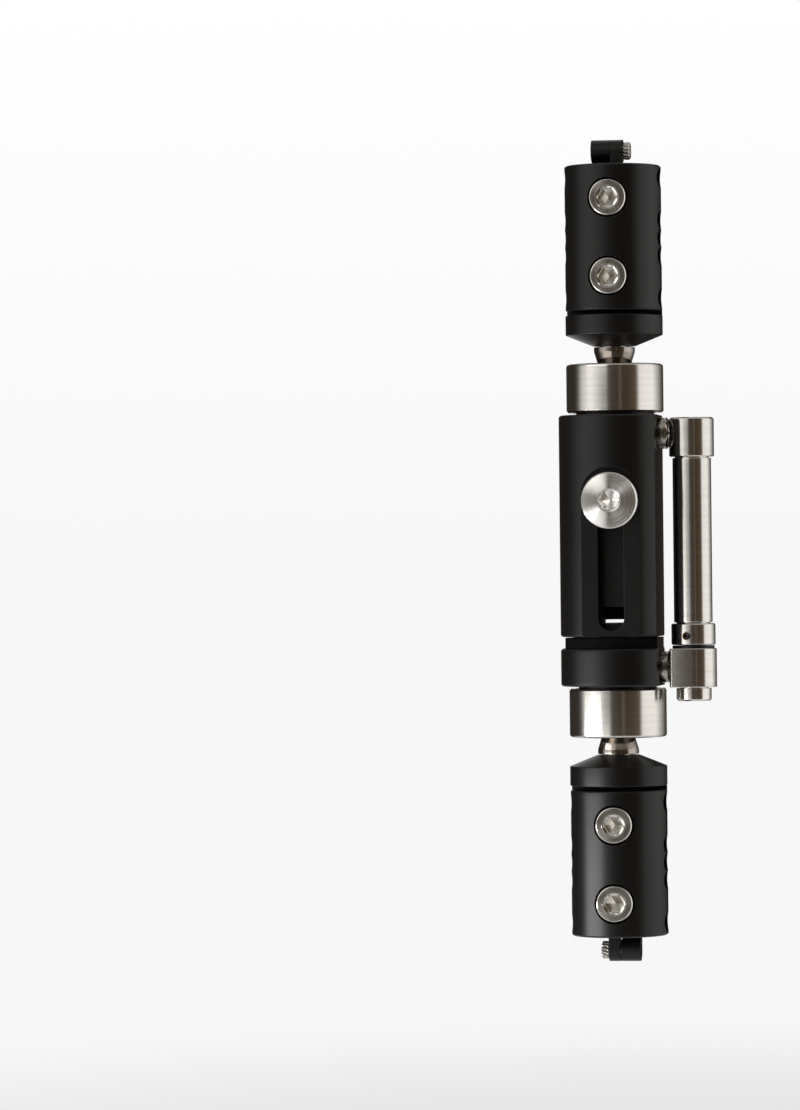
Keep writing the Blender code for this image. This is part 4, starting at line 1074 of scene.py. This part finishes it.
def drive_screw():
    """The drive screw with its flange and socket head, and the ring that keeps it in the block."""
    top, end = FLANGE_ENDS
    groove, groove_end = 3.7, -129.9
    outline = [
        (0.0, top),
        (DRIVE_FLANGE, top),
        (DRIVE_FLANGE, end),
        (groove, end),
        (groove, groove_end),
        (DRIVE_FLANGE, groove_end),
        (DRIVE_FLANGE, BLOCK_END - GAP),
        (DRIVE_HEAD, BLOCK_END - GAP, 0.1),
        (DRIVE_HEAD, DRIVE_END + 0.5, 0.2),
        (DRIVE_HEAD - 0.5, DRIVE_END, 0.1),
        (DRIVE_FLAT + 0.5, DRIVE_END),
        (DRIVE_FLAT + 0.35, DRIVE_END + 0.1),
        (DRIVE_FLAT, DRIVE_END + 0.3, "hex"),
        (DRIVE_FLAT, DRIVE_END + 2.5, "hex"),
        (0.0, DRIVE_END + 3.6),
    ]
    thread = thread_mesh(DRIVE_THREAD, DRIVE_ROOT, THREAD_PITCH, top - 0.5, DRIVE_TIP)
    screw = make_object("drive_screw", [lathe_mesh(rounded(outline), FINE_STEPS), thread], UNIT)
    smooth(screw)
    dress(screw, "drive_screw", STEEL)
    inner, outer = 3.9, DRIVE_HEAD
    top, end = RETAINER_ENDS
    retainer = [(inner, top), (outer, top), (outer, end), (inner, end)]
    dress(turned("retaining_ring", retainer, UNIT, closed=True), "retaining_ring", BRIGHT)


for side, place, away, cam in (("upper", UPPER, -1.0, UPPER_CAM), ("lower", LOWER, 1.0, LOWER_CAM)):
    clamp_body(side, place)
    clamp_cover(side, place)
    hinge_screw(f"{side}_hinge_screw", place)
    for end, height in BOLT_HEIGHTS.items():
        clamp_bolt(f"{side}_{end}_bolt", height, place)
        keep(f"{side}_{end}_washer", STEEL)
    ball_stud(f"{side}_ball_stud", place)
    ball_collar(f"{side}_ball_collar", place)
    locking_cam(f"{side}_locking_cam", cam, away)
    keep(f"{side}_ball_cup", BRONZE)
    keep(f"{side}_coupling_pin", STEEL)
sleeve_body("sleeve_body")
slider_bar("slider_bar")
lock_screw("body_lock_screw")
unit_cap()
unit_tube()
unit_collar()
unit_block()
dark_gap_ring()
drive_screw()
keep("guide_key", STEEL)
keep("drive_nut", BRONZE)

# Studio, in metres

FLOOR_HEIGHT = -0.262
FLOOR_RADIUS = 0.42
FLOOR_PLAIN = 0.06
FLOOR_PAINT = (0.86, 0.86, 0.86, 1.0)
FLOOR_GLOW = (0.87, 0.87, 0.87, 1.0)
FLOOR_GLOW_SHARE = 0.8


def make_floor():
    """A pale round floor that fades into the world at its rim."""
    mesh = bpy.data.meshes.new("floor")
    cage = bmesh.new()
    bmesh.ops.create_circle(cage, cap_ends=True, segments=96, radius=FLOOR_RADIUS)
    cage.to_mesh(mesh)
    cage.free()
    floor = bpy.data.objects.new("floor", mesh)
    floor.location = (0.0, 0.0, FLOOR_HEIGHT)
    bpy.context.scene.collection.objects.link(floor)
    made = bpy.data.materials.new("pale_floor")
    made.use_nodes = True
    tree = made.node_tree
    tree.nodes.clear()
    path = add(tree, "ShaderNodeLightPath")
    seen = maths(tree, "ADD", path.outputs["Is Camera Ray"], path.outputs["Is Glossy Ray"])
    seen = maths(tree, "ADD", seen, path.outputs["Is Transmission Ray"], clamp=True)
    paint = add(tree, "ShaderNodeBsdfDiffuse", {"Color": FLOOR_PAINT})
    glow = add(tree, "ShaderNodeEmission", {"Color": FLOOR_GLOW, "Strength": 1.0})
    share = maths(tree, "MULTIPLY", seen, FLOOR_GLOW_SHARE)
    lit = add(tree, "ShaderNodeMixShader", {0: share, 1: paint.outputs[0], 2: glow.outputs[0]})
    place = add(tree, "ShaderNodeTexCoord").outputs["Object"]
    far = add(tree, "ShaderNodeVectorMath", {0: place}, operation="LENGTH").outputs["Value"]
    fade = add(
        tree,
        "ShaderNodeMapRange",
        {"Value": far, "From Min": FLOOR_PLAIN, "From Max": FLOOR_RADIUS, "To Min": 0.0, "To Max": 1.0},
        interpolation_type="SMOOTHSTEP",
    )
    clear = add(tree, "ShaderNodeBsdfTransparent")
    mix = add(
        tree,
        "ShaderNodeMixShader",
        {0: fade.outputs[0], 1: lit.outputs[0], 2: clear.outputs[0]},
    )
    add(tree, "ShaderNodeOutputMaterial", {"Surface": mix.outputs[0]})
    mesh.materials.append(made)
    return floor


def ramp(tree, value, stops):
    """A colour ramp from (place, colour) stops; placing a mark can reorder them, so colours come last."""
    node = add(tree, "ShaderNodeValToRGB", {0: value})
    marks = node.color_ramp.elements
    while len(marks) < len(stops):
        marks.new(0.5)
    for mark, (spot, _) in zip(marks, stops):
        mark.position = spot
    for mark, (_, colour) in zip(node.color_ramp.elements, stops):
        mark.color = (*colour, 1.0)
    return node.outputs[0]


BACKDROP = 0.93
PEAK = 1.3
OVERHEAD = (0.40, 0.40, 0.39)
# Two soft lamps left of the camera: their azimuths, and the heights and light of each
LAMP_AZIMUTHS = (-66.0, -12.0)
HIGH_LAMP = (0.20, 0.75)
HIGH_LIGHT = (1.75, 1.73, 1.67)
LOW_LAMP = (-0.80, -0.14)
LOW_LIGHT = (1.4, 1.4, 1.38)
# The part of the backdrop straight behind polished pieces, which they mirror
BEHIND = (-176.0, -161.0)
NEUTRAL = (1.0, 0.99, 0.965)
WARM = (1.0, 0.84, 0.68)
BROWN = (1.0, 0.70, 0.42)
# (azimuth in degrees from the front towards +X, radiance, tint) round the room at eye level
BANDS = (
    (-180.0, 0.04, WARM),
    (-102.0, 0.045, WARM),
    (-91.0, 0.14, NEUTRAL),
    (-83.0, 0.55, NEUTRAL),
    (-75.0, 0.85, NEUTRAL),
    (-63.0, 0.98, NEUTRAL),
    (-52.0, 1.08, NEUTRAL),
    (-42.0, 0.76, NEUTRAL),
    (-31.0, 0.43, NEUTRAL),
    (-21.0, 0.17, NEUTRAL),
    (-11.0, 0.085, WARM),
    (0.0, 0.07, WARM),
    (15.0, 0.06, BROWN),
    (18.0, 0.15, WARM),
    (21.0, 0.15, WARM),
    (24.0, 0.06, BROWN),
    (38.0, 0.075, BROWN),
    (60.0, 0.12, BROWN),
    (68.0, 1.15, NEUTRAL),
    (85.0, 1.25, NEUTRAL),
    (109.0, 1.28, NEUTRAL),
    (124.0, 0.74, NEUTRAL),
    (141.0, 0.32, NEUTRAL),
    (154.0, 0.10, WARM),
    (172.0, 0.04, WARM),
    (180.0, 0.04, WARM),
)


def between(tree, value, low, high, edge):
    """One between two values and nothing outside, with a soft edge."""
    rise = spread(tree, value, low - edge, low + edge, 0.0, 1.0)
    fall = spread(tree, value, high - edge, high + edge, 1.0, 0.0)
    return maths(tree, "MULTIPLY", rise, fall)


def make_world():
    """A pale backdrop, and the studio that lights the part and shows in its metal."""
    world = bpy.data.worlds.new("studio")
    bpy.context.scene.world = world
    world.use_nodes = True
    tree = world.node_tree
    tree.nodes.clear()
    way = add(tree, "ShaderNodeTexCoord").outputs["Generated"]
    split = add(tree, "ShaderNodeSeparateXYZ", {0: way})
    height = split.outputs["Z"]
    front = maths(tree, "MULTIPLY", split.outputs["Y"], -1.0)
    angle = maths(tree, "ARCTAN2", split.outputs["X"], front)
    turn = maths(tree, "ADD", maths(tree, "DIVIDE", angle, 2 * math.pi), 0.5)
    stops = []
    for azimuth, radiance, tint in BANDS:
        stops.append((0.5 + azimuth / 360.0, tuple(radiance / PEAK * share for share in tint)))
    bands = ramp(tree, turn, stops)
    left = between(tree, angle, *map(math.radians, LAMP_AZIMUTHS), math.radians(2.5))
    high = maths(tree, "MULTIPLY", left, between(tree, height, *HIGH_LAMP, 0.02))
    low = maths(tree, "MULTIPLY", left, between(tree, height, *LOW_LAMP, 0.015))
    sky = blend_colours(tree, high, bands, (*HIGH_LIGHT, 1.0))
    sky = blend_colours(tree, low, sky, (*LOW_LIGHT, 1.0))
    above = spread(tree, height, 0.5, 0.8, 0.0, 1.0)
    sky = blend_colours(tree, above, sky, (*OVERHEAD, 1.0))
    studio = add(tree, "ShaderNodeBackground", {"Color": sky, "Strength": PEAK})
    grey = spread(tree, height, 0.0, 0.11, BACKDROP, 1.0)
    pale = add(tree, "ShaderNodeCombineColor", {0: grey, 1: grey, 2: grey})
    backdrop = add(tree, "ShaderNodeBackground", {"Color": pale.outputs[0], "Strength": 1.0})
    path = add(tree, "ShaderNodeLightPath")
    behind = between(tree, angle, *map(math.radians, BEHIND), math.radians(2.0))
    mirrored = maths(tree, "MULTIPLY", path.outputs["Is Glossy Ray"], behind)
    seen = maths(tree, "ADD", path.outputs["Is Camera Ray"], path.outputs["Is Transmission Ray"])
    seen = maths(tree, "ADD", seen, mirrored, clamp=True)
    mix = add(tree, "ShaderNodeMixShader", {0: seen, 1: studio.outputs[0], 2: backdrop.outputs[0]})
    add(tree, "ShaderNodeOutputWorld", {"Surface": mix.outputs[0]})


def facing_axis(azimuth, distance, height):
    """The frame of a lamp or camera that looks level at the part's axis from an azimuth."""
    turn = math.radians(azimuth)
    spot = Vector((math.sin(turn) * distance, -math.cos(turn) * distance, height))
    return Matrix.Translation(spot) @ Matrix.Rotation(turn, 4, "Z") @ Matrix.Rotation(QUARTER, 4, "X")


def make_lamp(name, azimuth, distance, low, high, width, radiance, spared):
    """A flat soft lamp that faces the axis, between two heights, and leaves one object unlit."""
    area = width * (high - low)
    data = bpy.data.lights.new(name, "AREA")
    data.shape = "RECTANGLE"
    data.size = width
    data.size_y = high - low
    data.energy = radiance * math.pi * area
    lamp = bpy.data.objects.new(name, data)
    lamp.matrix_world = facing_axis(azimuth, distance, (low + high) / 2)
    lamp.visible_camera = False
    bpy.context.scene.collection.objects.link(lamp)
    receivers = bpy.data.collections.new(name + "_receivers")
    receivers.objects.link(spared)
    receivers.collection_objects[0].light_linking.link_state = "EXCLUDE"
    lamp.light_linking.receiver_collection = receivers


# Camera, in metres

# The photograph's frame in pixels, its scale, and the column of the part's axis in it
PHOTO_WIDTH, PHOTO_HEIGHT = 800, 1110
MM_A_PIXEL = 0.29
AXIS_PIXEL = 616.5
CAMERA_AZIMUTH = 7.0
CAMERA_DISTANCE = 1.46
CAMERA_HEIGHT = -0.0916
ROLL = math.radians(-0.6)
SENSOR = 36.0


def make_camera():
    """A level camera at the photograph's angle, shifted so that the part stands right of centre."""
    half_height = PHOTO_HEIGHT / 2 * MM_A_PIXEL * MM
    data = bpy.data.cameras.new("camera")
    data.sensor_width = SENSOR
    data.lens = SENSOR / 2 * CAMERA_DISTANCE / half_height
    data.shift_x = -(AXIS_PIXEL - PHOTO_WIDTH / 2) / PHOTO_HEIGHT
    camera = bpy.data.objects.new("camera", data)
    upright = facing_axis(CAMERA_AZIMUTH, CAMERA_DISTANCE, CAMERA_HEIGHT)
    camera.matrix_world = upright @ Matrix.Rotation(ROLL, 4, "Z")
    bpy.context.scene.collection.objects.link(camera)
    bpy.context.scene.camera = camera


pale_floor = make_floor()
make_world()
make_lamp(
    "low_lamp",
    azimuth=-56.0,
    distance=0.30,
    low=-0.26,
    high=-0.187,
    width=0.25,
    radiance=11.5,
    spared=pale_floor,
)
make_camera()
bpy.context.scene.view_settings.view_transform = "Standard"
